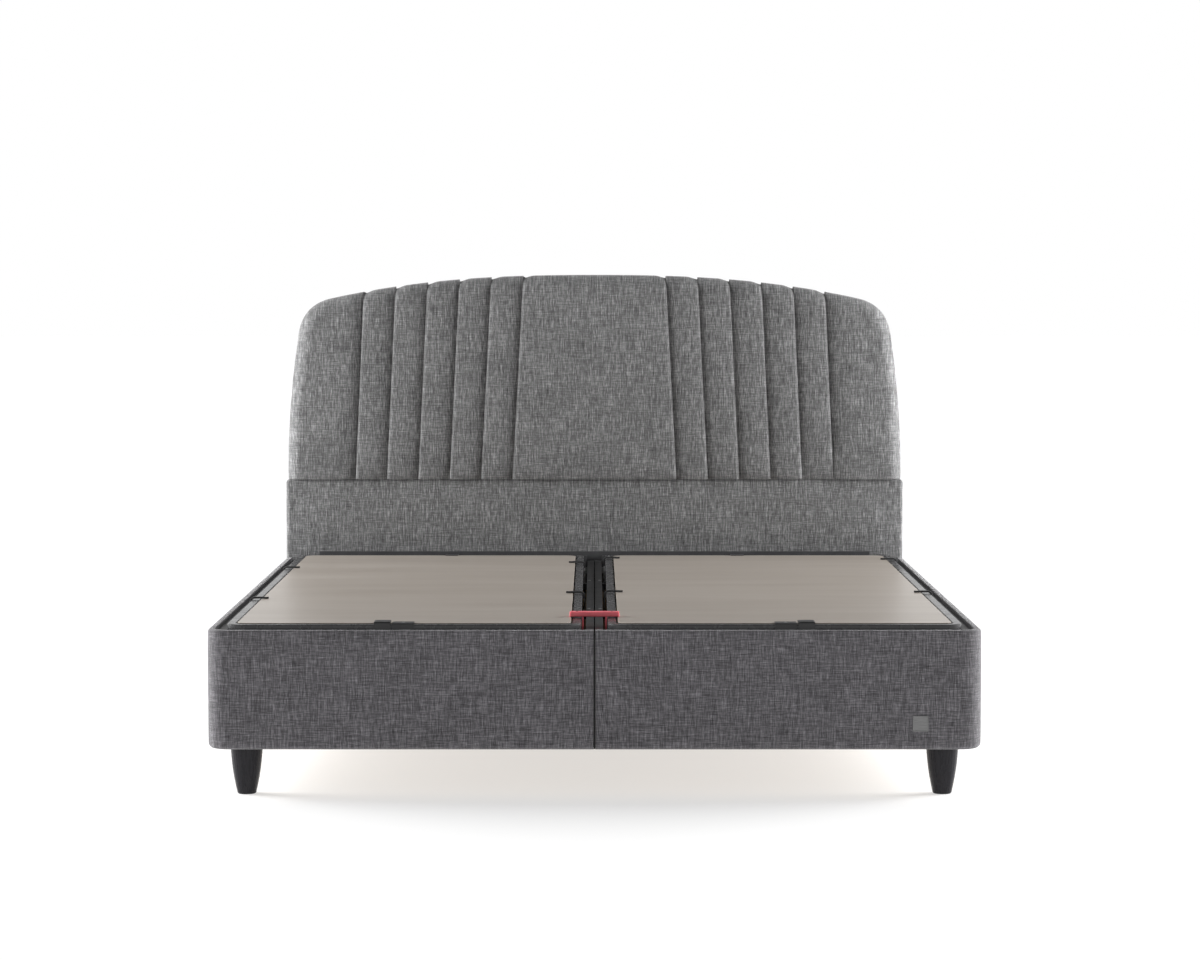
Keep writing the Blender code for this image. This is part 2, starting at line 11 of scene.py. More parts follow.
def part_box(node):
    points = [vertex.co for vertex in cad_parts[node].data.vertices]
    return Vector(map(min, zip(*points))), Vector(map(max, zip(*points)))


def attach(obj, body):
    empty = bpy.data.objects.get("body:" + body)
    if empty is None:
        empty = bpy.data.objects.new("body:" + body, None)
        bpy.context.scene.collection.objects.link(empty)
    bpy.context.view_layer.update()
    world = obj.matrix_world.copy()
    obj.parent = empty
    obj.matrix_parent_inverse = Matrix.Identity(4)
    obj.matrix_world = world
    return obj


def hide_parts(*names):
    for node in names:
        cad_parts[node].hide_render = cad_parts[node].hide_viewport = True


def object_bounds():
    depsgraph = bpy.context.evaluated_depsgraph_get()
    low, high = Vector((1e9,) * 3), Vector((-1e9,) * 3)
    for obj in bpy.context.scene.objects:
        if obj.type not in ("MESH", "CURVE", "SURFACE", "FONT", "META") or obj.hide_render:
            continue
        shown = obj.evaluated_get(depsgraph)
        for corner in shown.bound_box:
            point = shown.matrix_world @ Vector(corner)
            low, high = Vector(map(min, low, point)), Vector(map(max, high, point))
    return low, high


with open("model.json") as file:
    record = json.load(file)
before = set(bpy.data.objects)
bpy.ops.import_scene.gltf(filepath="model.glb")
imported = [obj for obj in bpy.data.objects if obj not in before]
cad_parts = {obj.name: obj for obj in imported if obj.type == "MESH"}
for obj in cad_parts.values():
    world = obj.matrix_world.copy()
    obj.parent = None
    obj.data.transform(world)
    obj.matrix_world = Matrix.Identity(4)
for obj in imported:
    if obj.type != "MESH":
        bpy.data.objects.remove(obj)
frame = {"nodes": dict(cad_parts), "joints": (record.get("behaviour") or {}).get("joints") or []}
cad_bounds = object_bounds()

# Sizes read from the frame
LOW, HIGH = [list(corner) for corner in cad_bounds]
PANEL_LOW, PANEL_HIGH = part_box("side_panel_right")
FOOT_LOW, FOOT_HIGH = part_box("foot_panel_right")
PAD_LOW, PAD_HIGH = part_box("headboard_upper_pad")
BAND_LOW, BAND_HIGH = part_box("headboard_lower_pad")
CORE_LOW, CORE_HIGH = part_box("headboard_core")
HALF = HIGH[0]
FOOT, HEAD = FOOT_LOW[1], BAND_LOW[1]
PANEL = PANEL_HIGH[0] - PANEL_LOW[0]
PANEL_BOTTOM, PANEL_TOP = PANEL_LOW[2], PANEL_HIGH[2]
HALF_SEAM = FOOT_LOW[0]
SEAM_EDGE = HALF_SEAM + 0.0008           # where the covers turn back into the seam
CORNER_RADIUS = HALF - FOOT_HIGH[0]
SIDES = {"left": -1, "right": 1}
FLAT_AREA = 0.01             # faces larger than this are flat, so that their rims do not shade across them


# Mesh helpers

def piece(name, mesh, finish, body="base"):
    """Links a mesh as a piece with a finish, riding on a body."""
    item = bpy.data.objects.new(name, mesh)
    bpy.context.scene.collection.objects.link(item)
    if finish is not None:
        mesh.materials.append(finish)
    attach(item, body)
    return item


def lattice(name, points, ring=False, capped=False):
    """A quad mesh through an array of points [row][column]; ring joins the last column to the first."""
    points = np.asarray(points, float)
    rows, columns = points.shape[:2]
    faces = []
    wide = columns if ring else columns - 1
    for r in range(rows - 1):
        for c in range(wide):
            d = (c + 1) % columns
            faces.append((r * columns + c, r * columns + d, (r + 1) * columns + d, (r + 1) * columns + c))
    if capped:
        faces.append(tuple(reversed(range(columns))))
        faces.append(tuple((rows - 1) * columns + c for c in range(columns)))
    mesh = bpy.data.meshes.new(name)
    mesh.from_pydata(points.reshape(-1, 3).tolist(), [], faces)
    mesh.update()
    return outward(mesh)


def outward(mesh):
    """Turns a closed mesh's faces outward, and shades it smooth."""
    form = bmesh.new()
    form.from_mesh(mesh)
    bmesh.ops.recalc_face_normals(form, faces=form.faces)
    form.to_mesh(mesh)
    form.free()
    mesh.shade_smooth()
    return mesh


def smooth_by_angle(mesh, degrees=35):
    mesh.shade_smooth()
    mesh.set_sharp_from_angle(angle=math.radians(degrees))
    for polygon in mesh.polygons:
        if polygon.area > FLAT_AREA:
            polygon.use_smooth = False
    return mesh


def box_uv(mesh):
    """A weave map in metres: each face is mapped along the axis that it faces most."""
    layer = mesh.uv_layers.new(name="weave")
    normals = np.empty(len(mesh.polygons) * 3)
    mesh.polygons.foreach_get("normal", normals)
    axes = np.abs(normals.reshape(-1, 3)).argmax(axis=1)
    picks = {0: (1, 2), 1: (0, 2), 2: (0, 1)}
    points = np.empty(len(mesh.vertices) * 3)
    mesh.vertices.foreach_get("co", points)
    points = points.reshape(-1, 3)
    values = np.empty((len(mesh.loops), 2))
    for polygon, axis in zip(mesh.polygons, axes):
        a, b = picks[axis]
        for loop in polygon.loop_indices:
            place = points[mesh.loops[loop].vertex_index]
            values[loop] = (place[a], place[b])
    layer.data.foreach_set("uv", values.reshape(-1))


def vertex_uv(mesh, values):
    """A weave map from one (u, v) for each vertex."""
    layer = mesh.uv_layers.new(name="weave")
    index = np.empty(len(mesh.loops), int)
    mesh.loops.foreach_get("vertex_index", index)
    layer.data.foreach_set("uv", np.asarray(values, float)[index].reshape(-1))


def finished(name, mesh, finish, body, degrees=40):
    """Shades and maps a mesh, then links it as a piece."""
    smooth_by_angle(mesh, degrees)
    box_uv(mesh)
    return piece(name, mesh, finish, body)


def mesh_of(name, form):
    mesh = bpy.data.meshes.new(name)
    form.to_mesh(mesh)
    form.free()
    return mesh


def extruded(name, outline, axis, span, finish, edge, body="base", segments=3):
    """A flat outline between two values on an axis, X (0) or Y (1), with softened rims if it has an edge."""
    form = bmesh.new()
    near, far = ([form.verts.new((*p[:axis], place, *p[axis:])) for p in outline] for place in sorted(span))
    form.faces.new(near)
    form.faces.new(list(reversed(far)))
    for i in range(len(outline)):
        j = (i + 1) % len(outline)
        form.faces.new((near[i], far[i], far[j], near[j]))
    bmesh.ops.recalc_face_normals(form, faces=form.faces)
    rims = [e for e in form.edges if abs(e.verts[0].co[axis] - e.verts[1].co[axis]) < 1e-7]
    if edge:
        bmesh.ops.bevel(form, geom=rims, offset=edge, segments=segments, affect="EDGES", profile=0.5)
    return finished(name, mesh_of(name, form), finish, body)


def rounded_box(name, low, high, edge, finish, body="base"):
    form = bmesh.new()
    bmesh.ops.create_cube(form, size=1.0)
    size = [max(abs(b - a), 1e-5) for a, b in zip(low, high)]
    middle = [(a + b) / 2 for a, b in zip(low, high)]
    bmesh.ops.scale(form, vec=size, verts=form.verts)
    bmesh.ops.translate(form, vec=middle, verts=form.verts)
    bmesh.ops.bevel(form, geom=form.edges[:], offset=edge, segments=3, affect="EDGES", profile=0.5)
    return finished(name, mesh_of(name, form), finish, body)


def turned(name, profile, place, direction, finish, body="base", steps=48):
    """A round solid: a profile of (radius, height) turned about an axis through place."""
    rows = []
    for radius, height in profile:
        angles = np.linspace(0, 2 * math.pi, steps, endpoint=False)
        rows.append([(radius * math.cos(a), radius * math.sin(a), height) for a in angles])
    mesh = lattice(name, rows, ring=True, capped=True)
    turn = Vector((0, 0, 1)).rotation_difference(Vector(direction)).to_matrix().to_4x4()
    mesh.transform(Matrix.Translation(place) @ turn)
    return finished(name, mesh, finish, body)


def round_section(width, height, radius, steps=4):
    """A rounded rectangle as (across, up) points about its middle."""
    points = []
    for cx, cy, start in ((1, 1, 0), (-1, 1, 90), (-1, -1, 180), (1, -1, 270)):
        for i in range(steps + 1):
            a = math.radians(start + 90 * i / steps)
            points.append((cx * (width / 2 - radius) + radius * math.cos(a),
                           cy * (height / 2 - radius) + radius * math.sin(a)))
    return points


def swept(name, path, section, finish, body="base"):
    """A section of (across, up) points swept along a path of points."""
    path = [Vector(p) for p in path]
    up = Vector((0, 0, 1))
    rows = []
    count = len(path)
    for i, point in enumerate(path):
        before = path[i - 1] if i else point
        after = path[i + 1] if i < count - 1 else point
        inward, outward_ = (point - before).normalized(), (after - point).normalized()
        along = (inward + outward_).normalized()
        side = along.cross(up).normalized()
        bend = inward.dot(outward_) if inward.length and outward_.length else 1.0
        stretch = 1 / max(math.sqrt((1 + bend) / 2), 0.5)
        lift = side.cross(along).normalized()
        rows.append([point + side * (a * stretch) + lift * b for a, b in section])
    mesh = lattice(name, rows, ring=True, capped=True)
    return finished(name, mesh, finish, body)


def arc(centre, radius, start, end, steps=8):
    angles = [math.radians(start + (end - start) * i / steps) for i in range(steps + 1)]
    return [(centre[0] + radius * math.cos(a), centre[1] + radius * math.sin(a)) for a in angles]


# Materials

THREAD_PITCH = 0.0013


class Nodes:
    """A short way to write a material's node tree."""

    def __init__(self, name):
        self.material = bpy.data.materials.new(name)
        self.material.use_nodes = True
        self.tree = self.material.node_tree
        self.shader = self.tree.nodes["Principled BSDF"]

    def add(self, kind, inputs=None, **settings):
        node = self.tree.nodes.new(kind)
        for key, value in settings.items():
            setattr(node, key, value)
        for key, value in (inputs or {}).items():
            if isinstance(value, bpy.types.NodeSocket):
                self.tree.links.new(value, node.inputs[key])
            else:
                node.inputs[key].default_value = value
        return node

    def math(self, operation, a, b=0.0):
        return self.add("ShaderNodeMath", {0: a, 1: b}, operation=operation).outputs[0]

    def times(self, a, b):
        return self.math("MULTIPLY", a, b)

    def plus(self, a, b):
        return self.math("ADD", a, b)

    def place(self):
        return self.add("ShaderNodeTexCoord").outputs["Object"]

    def mapped(self, source, scale, shift=(0, 0, 0)):
        return self.add("ShaderNodeMapping", {"Vector": source, "Scale": scale, "Location": shift}).outputs[0]

    def noise(self, source, scale, detail=2.0, rough=0.5, spread=(1, 1, 1)):
        vector = self.mapped(source, spread) if spread != (1, 1, 1) else source
        inputs = {"Vector": vector, "Scale": scale, "Detail": detail, "Roughness": rough}
        return self.add("ShaderNodeTexNoise", inputs).outputs["Fac"]

    def ramp(self, value, *stops):
        node = self.add("ShaderNodeValToRGB", {"Fac": value})
        elements = node.color_ramp.elements
        while len(elements) < len(stops):
            elements.new(0.5)
        for element, (place, color) in zip(elements, stops):
            element.position = place
            element.color = (*color, 1.0)
        return node.outputs["Color"]

    def bump(self, height, distance, strength=1.0):
        inputs = {"Height": height, "Distance": distance, "Strength": strength}
        return self.add("ShaderNodeBump", inputs).outputs[0]

    def set(self, **values):
        for key, value in values.items():
            socket = self.shader.inputs[key.replace("_", " ")]
            if isinstance(value, bpy.types.NodeSocket):
                self.tree.links.new(value, socket)
            else:
                socket.default_value = value
        return self.material


def linen(name, tone, warmth=(1.0, 1.0, 1.03), contrast=1.0, upright=0.55):
    """Heathered linen-look weave: slubby warp and weft threads over a plain weave, in metres of cloth."""
    n = Nodes(name)
    uv = n.add("ShaderNodeUVMap", uv_map="weave").outputs[0]

    def threads(across, along, detail=2.0):
        """Threads both ways: `across` of them in a metre, and `along` changes of shade down each metre."""
        warp = n.noise(uv, 1.0, detail, 0.6, (across, along, 1))
        weft = n.noise(n.mapped(uv, (1, 1, 1), (3.7, 9.1, 0)), 1.0, detail, 0.6, (along, across, 1))
        return n.plus(n.times(warp, upright), n.times(weft, 1 - upright))

    value = n.times(threads(900, 62), 0.38)
    value = n.plus(value, n.times(threads(440, 32), 0.38))
    value = n.plus(value, n.times(threads(290, 13, 1.0), 0.24))
    cloud = n.noise(uv, 9.0, 3.0, 0.55)
    value = n.plus(value, n.times(n.math("SUBTRACT", cloud, 0.5), 0.04))
    shades = [tuple(tone * w * k for w in warmth) for k in (1 - 0.80 * contrast, 1.0, 1 + 2.0 * contrast)]
    color = n.ramp(value, (0.38, shades[0]), (0.50, shades[1]), (0.62, shades[2]))
    thread = 2 * math.pi / THREAD_PITCH
    split = n.add("ShaderNodeSeparateXYZ", {0: uv})
    across = n.math("SINE", n.times(split.outputs[0], thread))
    along = n.math("SINE", n.times(split.outputs[1], thread))
    weave = n.times(across, along)
    height = n.plus(n.times(weave, 0.35), n.times(value, 1.6))
    return n.set(Base_Color=color, Roughness=0.93, Specular_IOR_Level=0.25, Sheen_Weight=0.35,
                 Sheen_Roughness=0.45, Normal=n.bump(height, 0.0006, 0.7))


def painted_steel(name, tone, rough=0.38, shine=0.5):
    n = Nodes(name)
    place = n.place()
    grain = n.noise(place, 900.0, 2.0, 0.6)
    wear = n.noise(place, 30.0, 4.0, 0.65)
    dark, light = (tone * 0.9, tone * 0.9, tone * 0.94), (tone * 1.2, tone * 1.2, tone * 1.24)
    color = n.ramp(wear, (0.35, dark), (0.7, light))
    roughness = n.plus(rough, n.times(n.math("SUBTRACT", wear, 0.5), 0.22))
    return n.set(Base_Color=color, Roughness=roughness, Specular_IOR_Level=shine,
                 Normal=n.bump(grain, 0.00006, 0.5))


def bare_metal(name, tone, rough=0.32):
    n = Nodes(name)
    place = n.place()
    streak = n.noise(place, 1.0, 3.0, 0.6, (60, 900, 900))
    color = n.ramp(streak, (0.3, (tone * 0.8,) * 3), (0.7, (tone * 1.1,) * 3))
    roughness = n.plus(rough, n.times(n.math("SUBTRACT", streak, 0.5), 0.25))
    return n.set(Base_Color=color, Metallic=1.0, Roughness=roughness, Normal=n.bump(streak, 0.00005, 0.4))


def laminate(name):
    """Grey-beige melamine with a faint grain across the bed."""
    n = Nodes(name)
    place = n.place()
    bend = n.noise(place, 2.2, 2.0, 0.5)
    push = n.add("ShaderNodeCombineXYZ", {1: n.times(bend, 0.10)}).outputs[0]
    warped = n.add("ShaderNodeVectorMath", {0: place, 1: push}, operation="ADD").outputs[0]
    broad = n.noise(warped, 1.0, 4.0, 0.6, (1.3, 11, 1))
    fine = n.noise(warped, 1.0, 5.0, 0.7, (9, 240, 1))
    value = n.plus(n.times(broad, 0.55), n.times(fine, 0.45))
    dark, middle, light = (0.296, 0.258, 0.222), (0.360, 0.320, 0.280), (0.416, 0.376, 0.336)
    color = n.ramp(value, (0.30, dark), (0.5, middle), (0.72, light))
    roughness = n.plus(0.27, n.times(fine, 0.16))
    return n.set(Base_Color=color, Roughness=roughness, Specular_IOR_Level=0.5,
                 Normal=n.bump(fine, 0.00012, 0.35))


def chipboard(name, tone=(0.36, 0.28, 0.19)):
    n = Nodes(name)
    place = n.place()
    cells = {"Vector": n.mapped(place, (1, 1, 1.7)), "Scale": 420.0}
    chips = n.add("ShaderNodeTexVoronoi", cells).outputs["Color"]
    shade = n.noise(place, 60.0, 4.0, 0.65)
    grey = n.add("ShaderNodeSeparateColor", {0: chips}).outputs[0]
    value = n.plus(n.times(grey, 0.5), n.times(shade, 0.5))
    color = n.ramp(value, (0.2, tuple(0.7 * t for t in tone)), (0.8, tuple(1.35 * t for t in tone)))
    return n.set(Base_Color=color, Roughness=0.85, Normal=n.bump(value, 0.0003, 0.5))


def moulded(name, color, rough=0.45):
    """Fine-grained moulded plastic."""
    n = Nodes(name)
    place = n.place()
    grain = n.noise(place, 1300.0, 2.0, 0.5)
    tint = n.noise(place, 40.0, 3.0, 0.6)
    shade = n.ramp(tint, (0.35, tuple(c * 0.9 for c in color)), (0.7, tuple(min(c * 1.12, 1) for c in color)))
    return n.set(Base_Color=shade, Roughness=rough, Normal=n.bump(grain, 0.00008, 0.5))


def lacquer(name):
    n = Nodes(name)
    place = n.place()
    grain = n.noise(place, 1.0, 4.0, 0.6, (220, 220, 16))
    color = n.ramp(grain, (0.3, (0.009, 0.0085, 0.011)), (0.7, (0.016, 0.015, 0.019)))
    return n.set(Base_Color=color, Roughness=n.plus(0.20, n.times(grain, 0.16)),
                 Specular_IOR_Level=0.25, Normal=n.bump(grain, 0.0001, 0.4))


def felt(name, tone):
    """Non-woven dust cloth."""
    n = Nodes(name)
    place = n.place()
    fibres = n.noise(place, 700.0, 5.0, 0.75)
    dimple = n.add("ShaderNodeTexVoronoi", {"Vector": place, "Scale": 260.0}).outputs["Distance"]
    color = n.ramp(fibres, (0.3, (tone * 0.7,) * 3), (0.75, (tone * 1.5,) * 3))
    height = n.plus(fibres, n.times(dimple, 0.6))
    return n.set(Base_Color=color, Roughness=0.95, Normal=n.bump(height, 0.0003, 0.6))


BASE_LINEN = linen("base_linen", 0.113, (1.02, 0.98, 1.05), 0.95)
HEAD_LINEN = linen("headboard_linen", 0.121, (1.0, 1.0, 1.01), 1.0, 0.64)
CASE_STEEL = painted_steel("case_powder_coat", 0.046, 0.50, 0.30)
LID_STEEL = painted_steel("lid_powder_coat", 0.046, 0.27, 0.42)
CLIP_STEEL = painted_steel("clip_black", 0.022, 0.35)
CYLINDER_PAINT = painted_steel("cylinder_black", 0.018, 0.25)
ZINC = bare_metal("zinc_plate", 0.55)
CHROME = bare_metal("rod_chrome", 0.75, 0.12)
BADGE_METAL = bare_metal("badge_brushed", 0.20, 0.38)
LAMINATE = laminate("lid_laminate")
# Near-black finish for the lid boards' edges: painted shade standing for the shaded gap between each board and its
# tube frame.
BOARD_EDGE_PAINTED_SHADE = moulded("board_edge_painted_shade", (0.018, 0.018, 0.018), 0.4)
CHIPBOARD = chipboard("particle_board")
RED = moulded("red_grip_plastic", (0.84, 0.150, 0.185), 0.42)
RED_SCREW = moulded("red_screw_cover", (0.36, 0.035, 0.05), 0.35)
BLACK_PLASTIC = moulded("black_plastic", (0.02, 0.02, 0.022), 0.5)
LACQUER = lacquer("black_lacquer")
DUST_CLOTH = felt("dust_cloth", 0.02)


# Case covers: one linen skin round each half of the base

def cover_path(end_round=0.005, corner_steps=14):
    """Stations from the middle seam round the foot corner to the head: (x, y, normal x, normal y, pull)."""
    stations = []
    for i in range(5):
        turn = math.radians(90 * i / 4)
        pull = end_round * (1 - math.sin(turn))
        stations.append((SEAM_EDGE + end_round * (1 - math.cos(turn)), FOOT, 0.0, -1.0, pull))
    start, stop = SEAM_EDGE + end_round, HALF - CORNER_RADIUS
    for i in range(1, 56):
        stations.append((start + (stop - start) * i / 56, FOOT, 0.0, -1.0, 0.0))
    for i in range(corner_steps + 1):
        turn = math.radians(-90 + 90 * i / corner_steps)
        nx, ny = math.cos(turn), math.sin(turn)
        stations.append((stop + CORNER_RADIUS * nx, FOOT + CORNER_RADIUS * (1 + ny), nx, ny, 0.0))
    start, stop = FOOT + CORNER_RADIUS, HEAD - 0.0006
    for i in range(1, 141):
        stations.append((HALF, start + (stop - start) * i / 140, 1.0, 0.0, 0.0))
    return stations


def cover_section():
    """The cover's section as (inward, height), from the inside bottom round the outer face to the inside top."""
    bottom, top, lower, upper = PANEL_BOTTOM, PANEL_TOP, 0.011, 0.0055
    line = [(PANEL, bottom + 0.001), (PANEL * 0.9, bottom)]
    line += arc((lower, bottom + lower), lower, -90, -180, 6)
    steps = 22
    line += [(0.0, bottom + lower + (top - bottom - lower - upper) * i / steps) for i in range(1, steps)]
    line += arc((upper, top - upper), upper, 180, 90, 5)
    line += [(PANEL * 0.75, top + 0.0002)]
    line += arc((PANEL - 0.003, top - 0.003), 0.003, 90, 0, 3)
    line += [(PANEL, top - 0.02), (PANEL, bottom + 0.1)]
    return line


def cover(side_name):
    """A half's linen cover: foot panel, corner post and side panel in one cloth."""
    side = SIDES[side_name]
    section, rows, uvs = cover_section(), [], []
    length = 0.0
    previous = None
    for x, y, nx, ny, pull in cover_path():
        if previous is not None:
            length += math.hypot(x - previous[0], y - previous[1])
        previous = (x, y)
        row, run = [], 0.0
        for i, (inward, z) in enumerate(section):
            if i:
                run += math.hypot(inward - section[i - 1][0], z - section[i - 1][1])
            middle = max(0.0, 1 - abs(2 * (z - PANEL_BOTTOM) / (PANEL_TOP - PANEL_BOTTOM) - 1) ** 4)
            puff = (0.0012 + 0.0009 * noise.noise(Vector((length * 5, z * 9, 3.1 * side)))) * middle
            depth = max(inward, pull * (inward < PANEL * 0.95)) - puff * (inward < 0.002)
            row.append((side * (x - nx * depth), y - ny * depth, z))
            uvs.append((side * length, run))
        rows.append(row)
    mesh = lattice("cover_" + side_name, rows, ring=True, capped=True)
    vertex_uv(mesh, uvs)
    item = piece("cover_" + side_name, mesh, BASE_LINEN, "base")
    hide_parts("foot_panel_" + side_name, "corner_post_" + side_name, "side_panel_" + side_name)
    return item


for side_name in SIDES:
    cover(side_name)


# Cloth over the padding: a coarse blanket held at its seams and rim, blown out by its filling

CLOTH_STEP, CLOTH_FRAMES = 0.013, 18
PAD_PRESSURE, BAND_PRESSURE = 6.0, 1.8
FOAM_HOLD = 0.3              # how firmly the foam behind the cloth holds it, where a seam holds it at 1
CLOTH_LIMIT = 0.006          # a safety cap, beyond what the cloth reaches


def thinned(line, marks):
    """Indices along a line about CLOTH_STEP apart, which keep both ends and every mark."""
    keep = {0, len(line) - 1, *marks}
    picks = [0]
    for i in range(1, len(line)):
        if i in keep or abs(line[i] - line[picks[-1]]) >= CLOTH_STEP:
            if i in keep and len(picks) > 1 and picks[-1] not in keep:
                if abs(line[i] - line[picks[-1]]) < CLOTH_STEP * 0.4:
                    picks.pop()
            picks.append(i)
    return picks


def settled(grid, seams, pressure):
    """A front grid after its cloth has settled, held down the seam columns and round the rim."""
    middle_row, middle_column = grid.shape[0] // 2, grid.shape[1] // 2
    line_x, line_z = grid[middle_row, :, 0], grid[:, middle_column, 2]
    columns, rows = thinned(line_x, seams), thinned(line_z, [])
    coarse = grid[np.ix_(rows, columns)]
    mesh = lattice("blanket", [[tuple(p) for p in row] for row in coarse])
    if mesh.polygons[len(mesh.polygons) // 2].normal.y > 0:
        mesh.flip_normals()
    item = bpy.data.objects.new("blanket", mesh)
    scene = bpy.context.scene
    scene.collection.objects.link(item)
    across, down = len(columns), len(rows)
    held = [r * across + c for r in range(down) for c in range(across)
            if r in (0, down - 1) or c in (0, across - 1) or columns[c] in seams]
    group = item.vertex_groups.new(name="held")
    group.add(list(range(across * down)), FOAM_HOLD, "REPLACE")
    group.add(held, 1.0, "REPLACE")
    cloth = item.modifiers.new("cloth", "CLOTH")
    cloth.point_cache.frame_start, cloth.point_cache.frame_end = 1, CLOTH_FRAMES
    cloth.collision_settings.use_collision = False
    state = cloth.settings
    state.quality, state.mass = 6, 0.02
    state.tension_stiffness = state.compression_stiffness = 12.0
    state.shear_stiffness, state.bending_stiffness = 4.0, 0.08
    state.vertex_group_mass = "held"
    state.use_pressure, state.uniform_pressure_force = True, pressure
    state.effector_weights.gravity = 0.0
    for frame_number in range(1, CLOTH_FRAMES + 1):
        scene.frame_set(frame_number)
    blown = item.evaluated_get(bpy.context.evaluated_depsgraph_get()).to_mesh()
    after = np.empty(len(blown.vertices) * 3)
    blown.vertices.foreach_get("co", after)
    moved = after.reshape(coarse.shape)[..., 1] - coarse[..., 1]
    scene.frame_set(1)
    bpy.data.objects.remove(item)
    bpy.data.meshes.remove(mesh)
    moved = np.clip(np.nan_to_num(moved), -CLOTH_LIMIT, CLOTH_LIMIT)
    wide = np.stack([np.interp(line_x, line_x[columns], row) for row in moved])
    places = line_z[rows]
    full = np.stack([np.interp(line_z, places, wide[:, c]) for c in range(wide.shape[1])], axis=1)
    result = grid.copy()
    result[..., 1] += full
    return result


# Headboard: arched outline, seams and padding

PAD_TOP = PAD_HIGH[2]
ARCH_DROP, ARCH_POWER = 0.144, 2.5
LEAN, LEAN_START = 0.20, 0.60
CORNER = PAD_TOP - 0.0825
CORNER_DOWN, CORNER_IN = 0.076, 0.074
PAD_OVERLAP = 0.0027     # the two pads press together at the seam
PAD_FOOT = PAD_LOW[2] - PAD_OVERLAP
SEAMS = 6
SEAM_TOP, SEAM_TOP_STEP = 0.196, 0.0876
SEAM_FOOT, SEAM_FOOT_STEP = 0.226, 0.0864
PLEAT = 0.0145               # a channel's rise above its seams
SEAM_SINK = 0.0105           # seams behind the pad's foremost plane
SCALLOP = 0.006
EDGE_ROLL, EDGE_DEPTH = 0.034, 0.028
FOOT_ROLL, FOOT_DEPTH = 0.030, 0.013


def top_edge(x):
    return PAD_TOP - ARCH_DROP * abs(x) ** ARCH_POWER


def side_edge(z):
    return PAD_HIGH[0] - LEAN * max(z - LEAN_START, 0.0) ** 2


def blend_points(steps=40):
    """The rounded upper corner, from the side to the top."""
    corner = (side_edge(CORNER), CORNER)
    side_end, top_start = CORNER - CORNER_DOWN, corner[0] - CORNER_IN
    first, last = (side_edge(side_end), side_end), (top_start, top_edge(top_start))
    points = []
    for i in range(steps + 1):
        t = i / steps
        points.append(tuple((1 - t) ** 2 * a + 2 * t * (1 - t) * b + t * t * c
                            for a, b, c in zip(first, corner, last)))
    return points


def resample(points, shares):
    """Points at these shares of a line's length."""
    points = np.asarray(points, float)
    run = np.concatenate([[0], np.cumsum(np.linalg.norm(np.diff(points, axis=0), axis=1))])
    where = np.asarray(shares) * run[-1]
    return np.stack([np.interp(where, run, points[:, i]) for i in (0, 1)], axis=1)


def spaced(length, near, far, step):
    """Places from 0 to length: fine offsets at both ends and even steps between them."""
    near = [n for n in near if n < length / 2]
    far = [length - f for f in reversed(far) if f < length / 2]
    count = max(1, round((far[0] - near[-1]) / step))
    middle = [near[-1] + (far[0] - near[-1]) * i / count for i in range(1, count)]
    return np.array(near + middle + far)


FINE = (0.0, 0.0007, 0.0016, 0.0028, 0.0043, 0.0062, 0.0088, 0.0122, 0.0168)
COARSE = (0.0, 0.0012, 0.0026, 0.0045, 0.0075, 0.012)
EDGE = (0.0, 0.0006, 0.0017, 0.0034, 0.0058, 0.0088, 0.0124, 0.0166, 0.0215, 0.027)


def smooth(t):
    t = np.clip(t, 0.0, 1.0)
    return t * t * (3 - 2 * t)


def roll(distance, reach, depth):
    """How far a surface has turned back at a distance from its edge: a quarter of an ellipse."""
    t = np.clip(1 - distance / reach, 0.0, 1.0)
    return depth * (1 - np.sqrt(1 - t * t))


def seam_line(k):
    """A seam's (foot x, top x)."""
    return SEAM_FOOT + SEAM_FOOT_STEP * k, SEAM_TOP + SEAM_TOP_STEP * k


def pad_columns():
    """Columns of the right half: (panel, share of it from its inner edge, its width, foot x, top x)."""
    columns = []
    inner = (0.0, 0.0)
    for k in range(SEAMS):
        outer = seam_line(k)
        width = outer[1] - inner[1]
        near = (0.0,) if k == 0 else COARSE
        for place in spaced(width, near, FINE, 0.0075)[:-1]:
            share = place / width
            foot_x = inner[0] + (outer[0] - inner[0]) * share
            top_x = inner[1] + (outer[1] - inner[1]) * share
            columns.append((k, share, width, foot_x, top_x))
        inner = outer
    return columns


def pad_surface(side):
    """Half of the upper pad's front as arrays [row][column]: x, z, rise, edge distance and sink."""
    bottom = PAD_FOOT
    height = PAD_TOP - bottom
    rows = spaced(height, EDGE, EDGE, 0.0075) / height
    count = len(rows)
    x, z, rise, edge = [], [], [], []
    for k, share, width, foot_x, top_x in pad_columns():
        inside, outside = share * width, (1 - share) * width
        drop = SCALLOP * (1 - smooth(outside / 0.030))
        top = top_edge(top_x) - drop
        fade = 1.0
        if side > 0 and k == SEAMS - 1:
            fade = 0.35 + 0.65 * smooth((rows * height - 0.03) / 0.06)
        x.append(foot_x + (top_x - foot_x) * rows)
        z.append(bottom + (top - bottom) * rows)
        swell = 0.16 + 0.84 * math.sin(math.pi / 2 * min(share / 0.8, 1.0)) if k else 1.0
        lip = math.sqrt(1 - (1 - min(outside / 0.0095, 1.0)) ** 2)
        tuck = 1.0 if k == 0 else float(smooth(inside / 0.004))
        value = PLEAT * swell * (0.55 + 0.45 * tuck if k else 1.0)
        rise.append(np.full(count, value * lip - 0.0015 * (1 - lip)) * fade)
        edge.append((1 - rows) * (top - bottom))
    wing_x, wing_z, wing_rise, wing_edge = wing(rows)
    stack = [np.stack(a, axis=1) for a in (x, z, rise, edge)]
    parts = zip(stack, (wing_x, wing_z, wing_rise, wing_edge))
    return [np.concatenate(pair, axis=1) for pair in parts]


